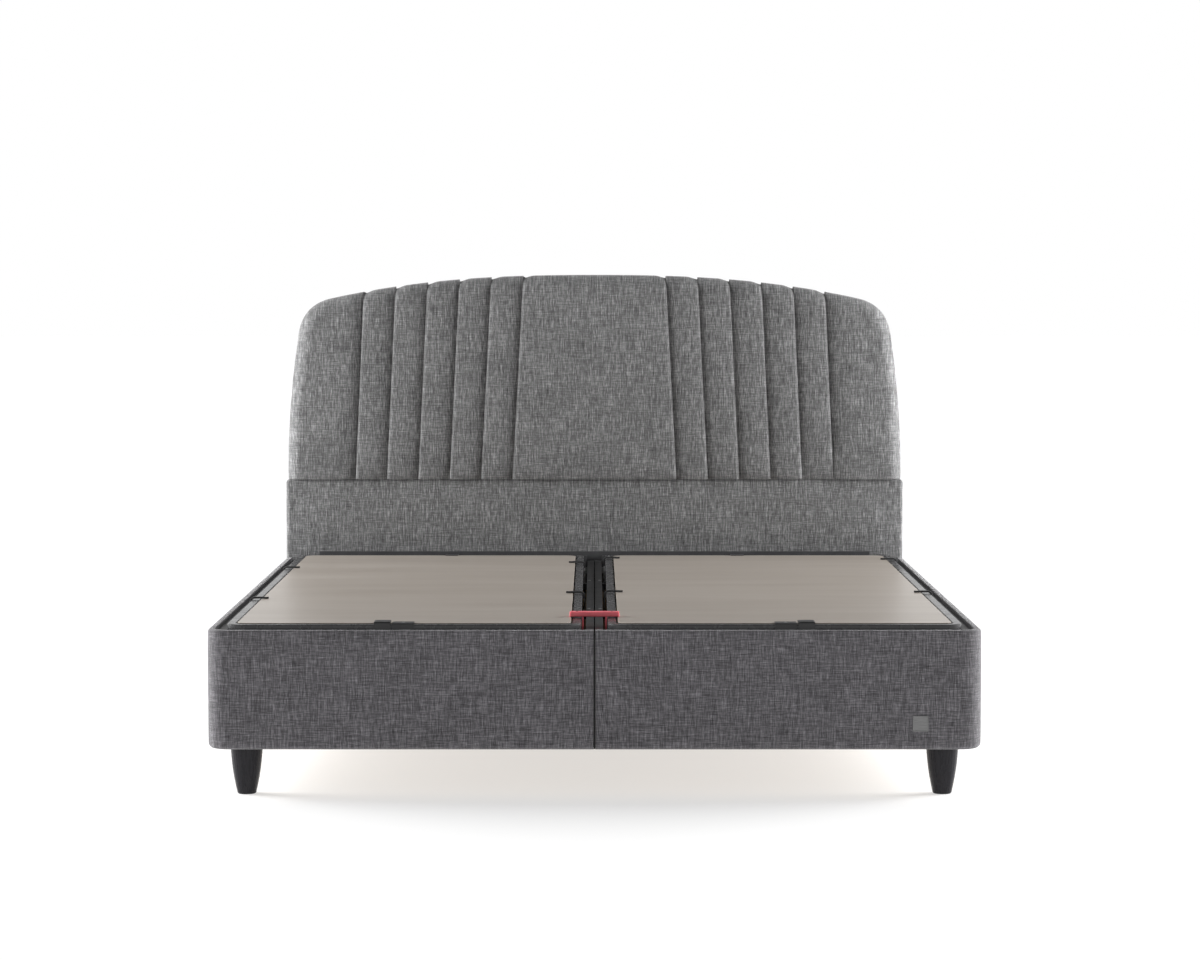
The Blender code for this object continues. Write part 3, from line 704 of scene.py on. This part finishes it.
def wing(rows):
    """The panel outside the last seam, which takes in the rounded corner."""
    bottom = PAD_FOOT
    foot_x, top_x = seam_line(SEAMS - 1)
    start = (top_x, top_edge(top_x))
    corner = blend_points()
    half = len(corner) // 2
    side_end = corner[0][1]
    side = [(side_edge(z), z) for z in np.linspace(bottom, side_end, 60)] + corner[1:half + 1]
    top = [(t, top_edge(t)) for t in np.linspace(top_x, corner[-1][0], 40)] + corner[half:-1][::-1]
    width = PAD_HIGH[0] - foot_x
    shares = spaced(width, COARSE, EDGE, 0.0075) / width
    left = np.stack([foot_x + (start[0] - foot_x) * rows, bottom + (start[1] - bottom) * rows], axis=1)
    right = resample(side, rows)
    low = np.stack([foot_x + (right[0][0] - foot_x) * shares, np.full(len(shares), bottom)], axis=1)
    high = resample(top, shares)
    u, v = shares[None, :, None], rows[:, None, None]
    patch = (1 - v) * low[None] + v * high[None] + (1 - u) * left[:, None] + u * right[:, None]
    patch -= (1 - u) * (1 - v) * low[0] + u * (1 - v) * low[-1] + (1 - u) * v * high[0] + u * v * high[-1]
    line = np.asarray(side + top[::-1])
    gaps = np.full(patch.shape[:2], 1e9)
    for a, b in zip(line[:-1], line[1:]):
        span = b - a
        t = np.clip(((patch - a) @ span) / max(span @ span, 1e-12), 0, 1)
        gaps = np.minimum(gaps, np.linalg.norm(patch - a - t[..., None] * span, axis=2))
    inside = shares * width
    tuck = smooth(inside / 0.004)
    value = PLEAT * (0.16 + 0.84 * np.sin(np.pi / 2 * np.clip(inside / 0.055, 0, 1))) * (0.55 + 0.45 * tuck)
    value[0] = -0.0015
    return patch[..., 0], patch[..., 1], np.tile(value, (len(rows), 1)), gaps


def upper_pad():
    """The channelled pad: a crowned, scalloped front whose edges roll back to its flat rear."""
    front = PAD_LOW[1] + SEAM_SINK
    halves = {}
    for name, side in SIDES.items():
        x, z, rise, edge = pad_surface(side)
        depth = front - rise * (0.35 + 0.65 * smooth(edge / EDGE_ROLL))
        depth += roll(edge, EDGE_ROLL, EDGE_DEPTH) + roll(z - PAD_FOOT, FOOT_ROLL, FOOT_DEPTH)
        halves[name] = np.stack([side * x, depth, z], axis=2)
    grid = np.concatenate([halves["left"][:, :0:-1], halves["right"]], axis=1)
    for r in range(grid.shape[0]):
        for c in range(grid.shape[1]):
            px, _, pz = grid[r, c]
            grid[r, c, 1] += 0.0011 * noise.noise(Vector((px * 16, pz * 5, 1.7)))
            grid[r, c, 1] += 0.0005 * noise.noise(Vector((px * 60, pz * 22, 4.2)))
    starts = [i for i, column in enumerate(pad_columns()) if column[0] and column[1] == 0.0]
    starts.append(len(pad_columns()))
    centre = halves["right"].shape[1] - 1
    grid = settled(grid, {centre + side * i for i in starts for side in (-1, 1)}, PAD_PRESSURE)
    mesh = closed_pad("headboard_pad", grid, PAD_HIGH[1])
    item = piece("headboard_pad", mesh, HEAD_LINEN, "base")
    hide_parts("headboard_upper_pad")
    return item


def closed_pad(name, grid, back):
    """A closed pad from a front grid: its rim runs straight back to a flat rear. Mapped in metres of cloth."""
    rows, columns = grid.shape[:2]
    rim = [(0, c) for c in range(columns)] + [(r, columns - 1) for r in range(1, rows)]
    rim += [(rows - 1, c) for c in range(columns - 2, -1, -1)] + [(r, 0) for r in range(rows - 2, 0, -1)]
    index = np.arange(rows * columns).reshape(rows, columns)
    points = [tuple(p) for p in grid.reshape(-1, 3)]
    values = [(p[0], p[2]) for p in points]
    faces = []
    for r in range(rows - 1):
        for c in range(columns - 1):
            faces.append((index[r, c], index[r, c + 1], index[r + 1, c + 1], index[r + 1, c]))
    ring = [index[r, c] for r, c in rim]
    count = len(ring)
    outline = np.array([points[i] for i in ring])
    ahead, behind = np.roll(outline, -1, axis=0), np.roll(outline, 1, axis=0)
    tangent = ahead - behind
    normal = np.stack([tangent[:, 2], -tangent[:, 0]], axis=1)
    normal /= np.maximum(np.linalg.norm(normal, axis=1, keepdims=True), 1e-9)
    for share, inset in ((0.35, -0.0004), (0.8, 0.0), (1.0, 0.0015)):
        start = len(points)
        for place, (nx, nz) in zip(outline, normal):
            y = place[1] + (back - place[1]) * share
            points.append((place[0] - nx * inset, y, place[2] - nz * inset))
            values.append((place[0] + nx * (y - place[1]), place[2] + nz * (y - place[1])))
        new = list(range(start, start + count))
        for i in range(count):
            j = (i + 1) % count
            faces.append((ring[i], ring[j], new[j], new[i]))
        ring = new
    faces.append(tuple(ring))
    mesh = bpy.data.meshes.new(name)
    mesh.from_pydata(points, [], faces)
    mesh.update()
    outward(mesh)
    vertex_uv(mesh, values)
    mesh.set_sharp_from_angle(angle=math.radians(75))
    return mesh


def lower_band():
    """The plain padded band below the seam, rounded at its corners and a little crowned."""
    low, high = BAND_LOW, BAND_HIGH + Vector((0, 0, PAD_OVERLAP))
    width, height, turn = high[0] - low[0], high[2] - low[2], 0.010
    xs = low[0] + spaced(width, EDGE, EDGE, 0.012)
    shares = spaced(height, EDGE, EDGE, 0.012) / height
    grid = np.empty((len(shares), len(xs), 3))
    for c, x in enumerate(xs):
        out = min(x - low[0], high[0] - x)
        lost = turn - math.sqrt(max(turn ** 2 - max(turn - out, 0.0) ** 2, 0.0))
        z = low[2] + lost + (height - 2 * lost) * shares
        side_gap = np.full(len(z), out)
        foot_gap, top_gap = z - low[2], high[2] - z
        pillow = 0.004 * smooth(side_gap / 0.12) * smooth(np.minimum(foot_gap, top_gap) / 0.10)
        y = low[1] + 0.0045 - pillow + roll(side_gap, 0.012, 0.012)
        y += roll(top_gap, 0.012, 0.009) + roll(foot_gap, 0.010, 0.008)
        y += [0.0008 * noise.noise(Vector((x * 7, h * 9, 8.3))) for h in z]
        grid[:, c] = np.stack([np.full(len(z), x), y, z], axis=1)
    grid = settled(grid, set(), BAND_PRESSURE)
    mesh = closed_pad("headboard_band", grid, high[1])
    item = piece("headboard_band", mesh, HEAD_LINEN, "base")
    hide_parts("headboard_lower_pad")


def board_outline(inset):
    """The headboard's outline from its lower left corner, brought in by inset, as (x, z)."""
    foot, steps = PANEL_BOTTOM + inset, 24
    corner = blend_points(20)
    right = [(side_edge(z), z) for z in np.linspace(LEAN_START, corner[0][1], 10)] + corner[1:-1]
    right += [(x, top_edge(x)) for x in np.linspace(corner[-1][0], 0.0, steps)]
    middle = (0.0, 0.6)
    drawn = [(PAD_HIGH[0], foot)] + right
    share_x = (CORE_HIGH[0] - inset) / PAD_HIGH[0]
    share_z = (CORE_HIGH[2] - inset - middle[1]) / (PAD_TOP - middle[1])
    half = [(x * share_x, z if z <= middle[1] else middle[1] + (z - middle[1]) * share_z) for x, z in drawn]
    return half + [(-x, z) for x, z in half[-2::-1]]


CLOTH_THICK, CLOTH_INSET = 0.0009, 0.035
STAPLE_PITCH, STAPLE_INSET = 0.055, 0.012
STAPLE_HALF, STAPLE_WIRE = 0.005, 0.0004


def headboard_back():
    """The linen wrapped over the board's edges, with a black dust cloth stapled over its back."""
    wrap = extruded("headboard_wrap", board_outline(0.0), 1, (CORE_LOW[1] - 0.0002, CORE_HIGH[1]), HEAD_LINEN,
                    0.004)
    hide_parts("headboard_core")
    outline = board_outline(CLOTH_INSET)
    rear = CORE_HIGH[1]
    cloth = extruded("dust_cloth", outline, 1, (rear - 0.0002, rear + CLOTH_THICK), DUST_CLOTH, 0.0)
    line = np.array(outline)
    ahead = np.roll(line, -1, axis=0)
    for a, b in zip(line, ahead):
        gap = float(np.linalg.norm(b - a))
        count = max(1, round(gap / STAPLE_PITCH)) if gap > STAPLE_PITCH * 0.5 else 0
        for i in range(count):
            toward = (b - a) / gap
            place = a + (b - a) * (i + 0.5) / count - np.array([toward[1], -toward[0]]) * STAPLE_INSET
            half = np.abs(toward) * STAPLE_HALF + STAPLE_WIRE
            (x0, z0), (x1, z1) = place - half, place + half
            STAPLES.append(rounded_box(f"staple_{len(STAPLES) + 1}", (x0, rear + CLOTH_THICK - 0.0003, z0),
                                       (x1, rear + CLOTH_THICK + STAPLE_WIRE, z1), 0.0002, ZINC))


STAPLES = []
upper_pad()
lower_band()
headboard_back()


# Lids: tube frames, boards and clips

HINGE = frame["joints"][0]
PIVOT = Vector(HINGE["pos_m"])
TUBE_LOW, TUBE_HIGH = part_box("lid_foot_tube_right")
LID_NEAR, LID_FAR = TUBE_LOW[0], TUBE_HIGH[0]
LID_FOOT, LID_HEAD = TUBE_LOW[1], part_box("lid_head_tube_right")[1][1]
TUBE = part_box("lid_inner_tube_right")[1][0] - LID_NEAR
RIM_RISE = 0.004             # the rim stands a little above the cross bars, round the board
TUBE_TALL = TUBE_HIGH[2] - TUBE_LOW[2] + RIM_RISE
TUBE_TOP = TUBE_HIGH[2] + RIM_RISE
BEND = TUBE_HIGH[1] - TUBE_LOW[1]
BOARD_LOW, BOARD_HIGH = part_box("lid_board_right")
BOARD_TOP = BOARD_HIGH[2]
STRUT_STUD_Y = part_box("strut_rod_outer_right")[0][1] + 0.0102
LUG_HALF, LUG_THICK = 0.012, 0.004


def lid_frame(name, side, body):
    """The lid's square tube, bent round both foot corners, with its end plugs and welded lugs."""
    middle, turn = TUBE / 2, BEND - TUBE / 2
    z = TUBE_TOP - TUBE_TALL / 2
    path = [(LID_FAR - middle, LID_HEAD, z)]
    path += [(x, y, z) for x, y in arc((LID_FAR - middle - turn, LID_FOOT + middle + turn), turn, 0, -90, 14)]
    centre = (LID_NEAR + middle + turn, LID_FOOT + middle + turn)
    path += [(x, y, z) for x, y in arc(centre, turn, 270, 180, 14)]
    path += [(LID_NEAR + middle, LID_HEAD, z)]
    path = [(side * x, y, z) for x, y, z in path]
    tube = swept("lid_frame_" + name, path, round_section(TUBE, TUBE_TALL, 0.0030), LID_STEEL, body)
    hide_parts("lid_outer_tube_" + name, "lid_foot_tube_" + name, "lid_inner_tube_" + name)
    for which, face, inward in (("outer", LID_FAR, -1), ("inner", LID_NEAR, 1)):
        for place, radius in (("hinge", 0.0043), ("strut", 0.003)):
            lug(f"lug_{place}_{which}_{name}", side, face, inward, place, radius, body)
        x = side * (face + inward * middle)
        wide, tall = TUBE / 2 - 0.0012, TUBE_TALL / 2 - 0.0012
        rounded_box(f"tube_plug_{which}_{name}", (x - wide, LID_HEAD - 0.002, z - tall),
                    (x + wide, LID_HEAD + 0.0016, z + tall), 0.0012, BLACK_PLASTIC, body)


def lug(name, side, face, inward, place, radius, body):
    """A round-ended lug under the tube; the strut's has a shouldered stud, the hinge's turns on the bracket's pin."""
    y = PIVOT[1] if place == "hinge" else STRUT_STUD_Y
    z = PIVOT[2]
    outline = arc((y, z), LUG_HALF, 180, 360, 16)
    outline += [(y + LUG_HALF, TUBE_LOW[2] + 0.001), (y - LUG_HALF, TUBE_LOW[2] + 0.001)]
    near = face + inward * 0.0002
    extruded(name, outline, 0, (side * near, side * (near + inward * LUG_THICK)), LID_STEEL, 0.0005, body,
             2)
    if place == "strut":
        start, end = face + inward * 0.002, face + inward * 0.0158
        length = abs(end - start)
        turned(name + "_stud", [(radius, 0.0), (radius, length - 0.002), (radius - 0.0007, length - 0.0015),
                                (radius - 0.0007, length - 0.0008), (radius, length - 0.0005), (radius, length)],
               (side * start, y, z), (side * inward, 0, 0), ZINC, body)


def board(name, side, body):
    """A laminated board with a fine eased rim. Its edge faces are painted near-black as painted shade, standing for
    the dark gap between the board and its tube.
    """
    x, y = sorted((side * BOARD_LOW[0], side * BOARD_HIGH[0])), (BOARD_LOW[1], BOARD_HIGH[1])
    corner, ease = BEND - TUBE - (BOARD_LOW[0] - LID_NEAR - TUBE), 0.0009

    def ring(inset, z):
        radius = corner - inset
        points = []
        for cx, cy, start in ((x[1], y[0], 270), (x[1], y[1], 0), (x[0], y[1], 90), (x[0], y[0], 180)):
            sx = 1 if cx == x[1] else -1
            sy = 1 if cy == y[1] else -1
            centre = (cx - sx * corner, cy - sy * corner)
            points += [(px, py, z) for px, py in arc(centre, radius, start, start + 90, 6)]
        return points

    bottom, top = BOARD_LOW[2], BOARD_TOP
    levels = [(0.0, bottom), (0.0, top - ease), (ease * 0.3, top - ease * 0.3), (ease, top)]
    rows = [ring(inset, z) for inset, z in levels]
    mesh = lattice("lid_board_skin_" + name, rows, ring=True, capped=True)
    mesh.materials.append(LAMINATE)
    mesh.materials.append(BOARD_EDGE_PAINTED_SHADE)
    # The edge faces take the near-black painted shade, and the top takes the laminate.
    for polygon in mesh.polygons:
        heights = [mesh.vertices[v].co.z for v in polygon.vertices]
        polygon.material_index = int(max(heights) - min(heights) > ease)
    smooth_by_angle(mesh, 50)
    item = piece("lid_board_skin_" + name, mesh, None, body)
    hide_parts("lid_board_" + name)


def strap(name, path, width, thick, finish, body, taper=None):
    """A thin strap in a plane of constant Y (or X), bent along a path of points, with a tapered first end."""
    path = [Vector(p) for p in path]
    flat_y = max(abs(p.y - path[0].y) for p in path) < 1e-6
    across = Vector((0, 1, 0)) if flat_y else Vector((1, 0, 0))
    rows = []
    for i, point in enumerate(path):
        before, after = path[max(i - 1, 0)], path[min(i + 1, len(path) - 1)]
        along = (after - before).normalized()
        out = along.cross(across).normalized()
        share = width * (1.0 if taper is None else taper[min(i, len(taper) - 1)])
        rows.append([point + across * a * share + out * b * thick for a, b in round_section(1, 1, 0.16, 3)])
    mesh = lattice(name, rows, ring=True, capped=True)
    return finished(name, mesh, finish, body, 35)


def bend_line(points, radius, steps=5):
    """Points of a polyline whose inner corners are turned with a radius."""
    points = [Vector(p) for p in points]
    line = [points[0]]
    for before, corner, after in zip(points[:-2], points[1:-1], points[2:]):
        back, ahead = (before - corner).normalized(), (after - corner).normalized()
        half = back.angle(ahead) / 2
        reach = min(radius / math.tan(half), (before - corner).length * 0.45, (after - corner).length * 0.45)
        first, last = corner + back * reach, corner + ahead * reach
        for i in range(steps + 1):
            t = i / steps
            line.append(first * (1 - t) ** 2 + corner * 2 * t * (1 - t) + last * t * t)
    return line + [points[-1]]


# Distances of the board clips behind the foot face, for each lid and edge
BOARD_CLIPS = {("left", "outer"): (0.64, 1.53), ("left", "inner"): (0.79, 1.70),
               ("right", "inner"): (0.815, 1.85), ("right", "outer"): (0.806, 1.81)}
CLIP_WIDTH, CLIP_THICK = 0.0075, 0.0045


def board_clip(name, side, which, place, body):
    """A sprung strap from a tapered leaf on the board, over the tube and down its far face."""
    tube_face = LID_FAR if which == "outer" else LID_NEAR
    out = 1 if which == "outer" else -1
    edge = BOARD_HIGH[0] if which == "outer" else BOARD_LOW[0]
    y = FOOT + place
    rest = BOARD_TOP + CLIP_THICK / 2 + 0.0002
    points = [(edge - out * 0.0165, rest + 0.0004), (edge - out * 0.011, rest),
              (edge + out * 0.001, rest + 0.0006),
              (tube_face - out * 0.003, rest + 0.0004),
              (tube_face + out * (CLIP_THICK / 2 + 0.0004), TUBE_TOP + 0.0010),
              (tube_face + out * (CLIP_THICK / 2 + 0.0004), TUBE_TOP - 0.011)]
    path = bend_line([(side * x, y, z) for x, z in points], 0.0022)
    strap(name, path, CLIP_WIDTH, CLIP_THICK, CLIP_STEEL, body, [0.45, 0.7, 0.9, 1.0])


def foot_clip(name, side, body):
    """Two pressed straps over the foot tube: a raised one outside and a flat riveted one inside."""
    low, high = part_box("foot_clip_" + name)
    near, far = sorted((abs(low[0]), abs(high[0])))
    front, back = LID_FOOT - 0.0012, high[1]
    split = near + 0.047
    straps = (("flat", near, split, 0.0, 0.0018), ("raised", split + 0.004, far, 0.0028, 0.0044))
    for part, x0, x1, lift, thick in straps:
        z = BOARD_TOP + thick / 2 + 0.0003 + lift * 0.3
        points = [(back, z), (front - thick / 2 + 0.0018, z), (front - 0.0006 - thick * 0.25, TUBE_TOP - 0.011)]
        x = side * (x0 + x1) / 2
        path = bend_line([(x, y, h) for y, h in points], 0.003)
        item = strap(f"foot_clip_{part}_{name}", path, x1 - x0, thick, CLIP_STEEL, body)
        if part == "flat":
            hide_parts("foot_clip_" + name)
            rivet(f"foot_clip_rivet_{name}", (x, (front + back) / 2, z + thick / 2), (0, 0, 1), 0.0032, body)


def rivet(name, place, direction, radius, body, finish=None):
    turned(name, [(radius, -0.0004), (radius, 0.0002), (radius * 0.86, 0.0008), (radius * 0.5, 0.00125),
                  (radius * 0.12, 0.0014)], place, direction, finish or ZINC, body, 20)


def head_clip(name, side, body):
    """A pressed clip that holds the board's head edge to the head tube."""
    x, width, thick = side * 0.39, 0.036, 0.0018
    z = BOARD_TOP + thick / 2 + 0.0003
    points = [(BOARD_HIGH[1] - 0.016, z), (BOARD_HIGH[1] + 0.002, z), (LID_HEAD + 0.0012, TUBE_TOP + thick),
              (LID_HEAD + 0.0012, TUBE_TOP - 0.010)]
    strap("head_clip_" + name, bend_line([(x, y, h) for y, h in points], 0.0025), width, thick,
          CLIP_STEEL, body)


GRIP_HALF, GRIP_SCREW = 0.0556, 0.039


def grip():
    """The red grip: a moulded bar across both lids, with a hooked leg beside each inner tube."""
    low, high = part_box("red_grip")
    y, half, depth = (low[1] + high[1]) / 2, GRIP_HALF, high[1] - low[1]
    rows = []
    count = 28
    for i in range(count + 1):
        share = 2 * i / count - 1
        x = half * math.sin(math.pi / 2 * share) if abs(share) < 1 else half * share
        close = max(0.0, (abs(x) - half + 0.003) / 0.003)
        scale = 1 - 0.22 * (1 - math.sqrt(max(1 - close * close, 0.0)))
        waist = 0.0006 * math.cos(math.pi * x / (2 * half)) ** 2
        section = round_section(depth * scale - 2 * waist, (high[2] - BOARD_TOP - 0.0003) * scale, 0.0028 * scale)
        middle = (high[2] + BOARD_TOP + 0.0003) / 2
        rows.append([(x, y + a, middle + b) for a, b in section])
    mesh = lattice("grip_bar", rows, ring=True, capped=True)
    smooth_by_angle(mesh, 40)
    item = piece("grip_bar", mesh, RED, "lid_left")
    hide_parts("red_grip")
    for name, side in SIDES.items():
        x = side * (LID_NEAR - 0.0030)
        path = [(x, y, high[2] - 0.006), (x, y, low[2] + 0.002), (x - side * 0.0004, y, low[2])]
        strap("grip_leg_" + name, path, depth - 0.006, 0.0046, RED, "lid_left")
        rivet("grip_screw_" + name, (side * GRIP_SCREW, y, high[2] - 0.0004), (0, 0, 1), 0.0028, "lid_left",
              RED_SCREW)


def lid_details():
    for name, side in SIDES.items():
        body = "lid_" + name
        lid_frame(name, side, body)
        board(name, side, body)
        foot_clip(name, side, body)
        head_clip(name, side, body)
        for which in ("outer", "inner"):
            for i, place in enumerate(BOARD_CLIPS[(name, which)]):
                board_clip(f"board_clip_{which}_{name}_{i + 1}", side, which, place, body)
            face = LID_FAR - TUBE / 2 if which == "outer" else LID_NEAR + TUBE / 2
            for i, place in enumerate((LID_HEAD - 0.030, LID_HEAD - 0.075)):
                rivet(f"tube_rivet_{which}_{name}_{i + 1}", (side * face, place, TUBE_TOP + 0.0001),
                      (0, 0, 1), 0.0036, body)
    grip()


# Case details: what closes the gaps between the halves and at the head

STRIP_HALF, STRIP_DEEP, STRIP_BACK = 0.0019, 0.0045, 0.018
TRIM_LOW, TRIM_HIGH = 0.3640, 0.3880
STOP_INNER, STOP_LOW, STOP_HIGH = 0.0205, 0.3300, 0.3765
CENTRE_WALL = 0.0193
REST_PLACES = (0.60, 1.38)   # behind the foot face


BADGE_RIM, BADGE_RAISE = 0.0024, 0.0009


def badge_rim():
    """A raised rim round the plain plate."""
    low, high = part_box("plain_badge")
    near, far = low[1] - BADGE_RAISE, low[1] + 0.0004
    spans = {
        "top": ((low[0], high[0]), (high[2] - BADGE_RIM, high[2])),
        "bottom": ((low[0], high[0]), (low[2], low[2] + BADGE_RIM)),
        "left": ((low[0], low[0] + BADGE_RIM), (low[2] + BADGE_RIM, high[2] - BADGE_RIM)),
        "right": ((high[0] - BADGE_RIM, high[0]), (low[2] + BADGE_RIM, high[2] - BADGE_RIM)),
    }
    for name, (x, z) in spans.items():
        rounded_box("badge_rim_" + name, (x[0], near, z[0]), (x[1], far, z[1]), 0.0004, BADGE_METAL)


def case_details():
    rail_low, rail_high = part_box("outer_rail_right")
    band = BAND_LOW[1]
    rounded_box("seam_strip", (-STRIP_HALF, FOOT + STRIP_DEEP, PANEL_BOTTOM + 0.0015),
                (STRIP_HALF, FOOT + STRIP_BACK, rail_high[2] - 0.001), 0.0002, DUST_CLOTH)
    reach = LID_FAR - BOARD_LOW[0]
    rounded_box("head_trim", (-reach, band - 0.0056, TRIM_LOW), (reach, band - 0.0008, TRIM_HIGH), 0.0010,
                CASE_STEEL, "base")
    for name, side in SIDES.items():
        x = sorted((side * STOP_INNER, side * (LID_FAR + 0.003)))
        rounded_box("head_stop_" + name, (x[0], band - 0.0145, STOP_LOW), (x[1], band - 0.0006, STOP_HIGH), 0.0012,
                    CASE_STEEL, "base")
        for which, wall, inward in (("outer", rail_low[0] + 0.016, -1), ("inner", CENTRE_WALL, 1)):
            for i, place in enumerate(REST_PLACES):
                where = (side * (wall - inward * 0.006), FOOT + place, rail_high[2])
                rivet(f"rest_stud_{which}_{name}_{i + 1}", where, (0, 0, 1), 0.0040, "base")


lid_details()
case_details()
badge_rim()


# Finishes on the CAD nodes

def dress(name, finish, edge=0.0, segments=3, angle=50):
    """Gives a CAD node its finish, and soft edges if it has an edge radius."""
    item = frame["nodes"][name]
    item.data.materials.clear()
    item.data.materials.append(finish)
    if edge:
        bevel = item.modifiers.new("soft_edges", "BEVEL")
        bevel.width = edge
        bevel.segments = segments
        bevel.limit_method = "ANGLE"
        bevel.angle_limit = math.radians(angle)
        bevel.harden_normals = True
    return item


DRESSING = {
    "lid_head_tube_": (LID_STEEL, 0.0), "lid_cross_bar_": (LID_STEEL, 0.0), "outer_rail_": (CASE_STEEL, 0.0),
    "centre_rail_": (CASE_STEEL, 0.0), "foot_rail_": (CASE_STEEL, 0.0), "head_rail_": (CASE_STEEL, 0.0),
    "storage_floor_": (CHIPBOARD, 0.0006), "centre_board_": (CHIPBOARD, 0.0), "head_board_": (CHIPBOARD, 0.0),
    "hinge_bracket_": (ZINC, 0.0), "strut_cylinder_": (CYLINDER_PAINT, 0.0), "strut_rod_": (CHROME, 0.0),
    "leg_": (LACQUER, 0.0), "plain_badge": (BADGE_METAL, 0.0003),
}
for node in frame["nodes"]:
    for start, (finish, edge) in DRESSING.items():
        if node.startswith(start):
            dress(node, finish, edge)


# Floor, light and camera

FRONT_WORLD, ZENITH_WORLD = 0.74, 0.16


GLOW_SPAN, GLOW = (1.5, 6.0), (0.56, 0.86)   # distance from the bed, and the floor's own light there


def floor():
    mesh = bpy.data.meshes.new("floor")
    reach = 60.0
    mesh.from_pydata([(-reach, -reach, 0), (reach, -reach, 0), (reach, reach, 0), (-reach, reach, 0)],
                     [], [(0, 1, 2, 3)])
    item = bpy.data.objects.new("floor", mesh)
    item.location = (0, 0, LOW[2] - 0.0005)
    bpy.context.scene.collection.objects.link(item)
    n = Nodes("floor_paint")
    place = n.place()
    tone = n.ramp(n.noise(place, 0.7, 3.0, 0.5), (0.3, (0.49, 0.49, 0.49)), (0.7, (0.51, 0.51, 0.51)))
    reach = n.add("ShaderNodeVectorMath", {0: place}, operation="LENGTH").outputs["Value"]
    glow = ranged(n.tree, reach, *GLOW_SPAN, *GLOW)
    mesh.materials.append(n.set(Base_Color=tone, Roughness=0.9, Specular_IOR_Level=0.1,
                                Emission_Color=(1, 1, 1, 1), Emission_Strength=glow))


def softbox(name, place, aim, size, power, tint=(1, 1, 1)):
    data = bpy.data.lights.new(name, "AREA")
    data.shape = "RECTANGLE"
    data.size, data.size_y = size
    data.energy = power
    data.color = tint
    item = bpy.data.objects.new(name, data)
    item.location = place
    item.rotation_mode = "QUATERNION"
    item.rotation_quaternion = (Vector(aim) - Vector(place)).to_track_quat("-Z", "Y")
    item.visible_camera = False
    item.visible_glossy = False
    bpy.context.scene.collection.objects.link(item)


BOX_PLACE, BOX_AIM, BOX_SIZE, BOX_POWER = (3.6, 0.45, 1.15), (0.5, 0.2, 0.6), (2.4, 1.8), 285


def lights():
    for name, side in SIDES.items():
        place, aim = ((side * x, y, z) for x, y, z in (BOX_PLACE, BOX_AIM))
        softbox("side_box_" + name, place, aim, BOX_SIZE, BOX_POWER)
    world = bpy.data.worlds.new("studio")
    bpy.context.scene.world = world
    world.use_nodes = True
    tree = world.node_tree
    place = tree.nodes.new("ShaderNodeTexCoord")
    split = tree.nodes.new("ShaderNodeSeparateXYZ")
    tree.links.new(place.outputs["Generated"], split.inputs[0])
    behind = ranged(tree, split.outputs["Y"], -0.25, 0.30, FRONT_WORLD, 1.0)
    above = ranged(tree, split.outputs["Z"], 0.20, 0.85, 1.0, ZENITH_WORLD)
    both = tree.nodes.new("ShaderNodeMath")
    both.operation = "MULTIPLY"
    tree.links.new(behind, both.inputs[0])
    tree.links.new(above, both.inputs[1])
    tree.links.new(both.outputs[0], tree.nodes["Background"].inputs["Strength"])
    tree.nodes["Background"].inputs["Color"].default_value = (1, 1, 1, 1)


def ranged(tree, value, low, high, first, last):
    node = tree.nodes.new("ShaderNodeMapRange")
    node.interpolation_type = "SMOOTHSTEP"
    tree.links.new(value, node.inputs["Value"])
    for key, number in (("From Min", low), ("From Max", high), ("To Min", first), ("To Max", last)):
        node.inputs[key].default_value = number
    return node.outputs["Result"]


LENS, SENSOR, SHIFT = 106.5, 36.0, 0.0046
CAMERA_AWAY, CAMERA_HIGH, CAMERA_DOWN = 7.73, 1.1375, 3.243   # metres before the foot face, metres, degrees


def camera():
    data = bpy.data.cameras.new("camera")
    data.lens, data.sensor_width, data.shift_x = LENS, SENSOR, SHIFT
    data.clip_end = 200
    item = bpy.data.objects.new("camera", data)
    item.location = (0.0, FOOT - CAMERA_AWAY, CAMERA_HIGH)
    item.rotation_euler = (math.radians(90 - CAMERA_DOWN), 0.0, 0.0)
    bpy.context.scene.collection.objects.link(item)
    bpy.context.scene.camera = item


floor()
lights()
camera()
bpy.context.scene.view_settings.view_transform = "Standard"
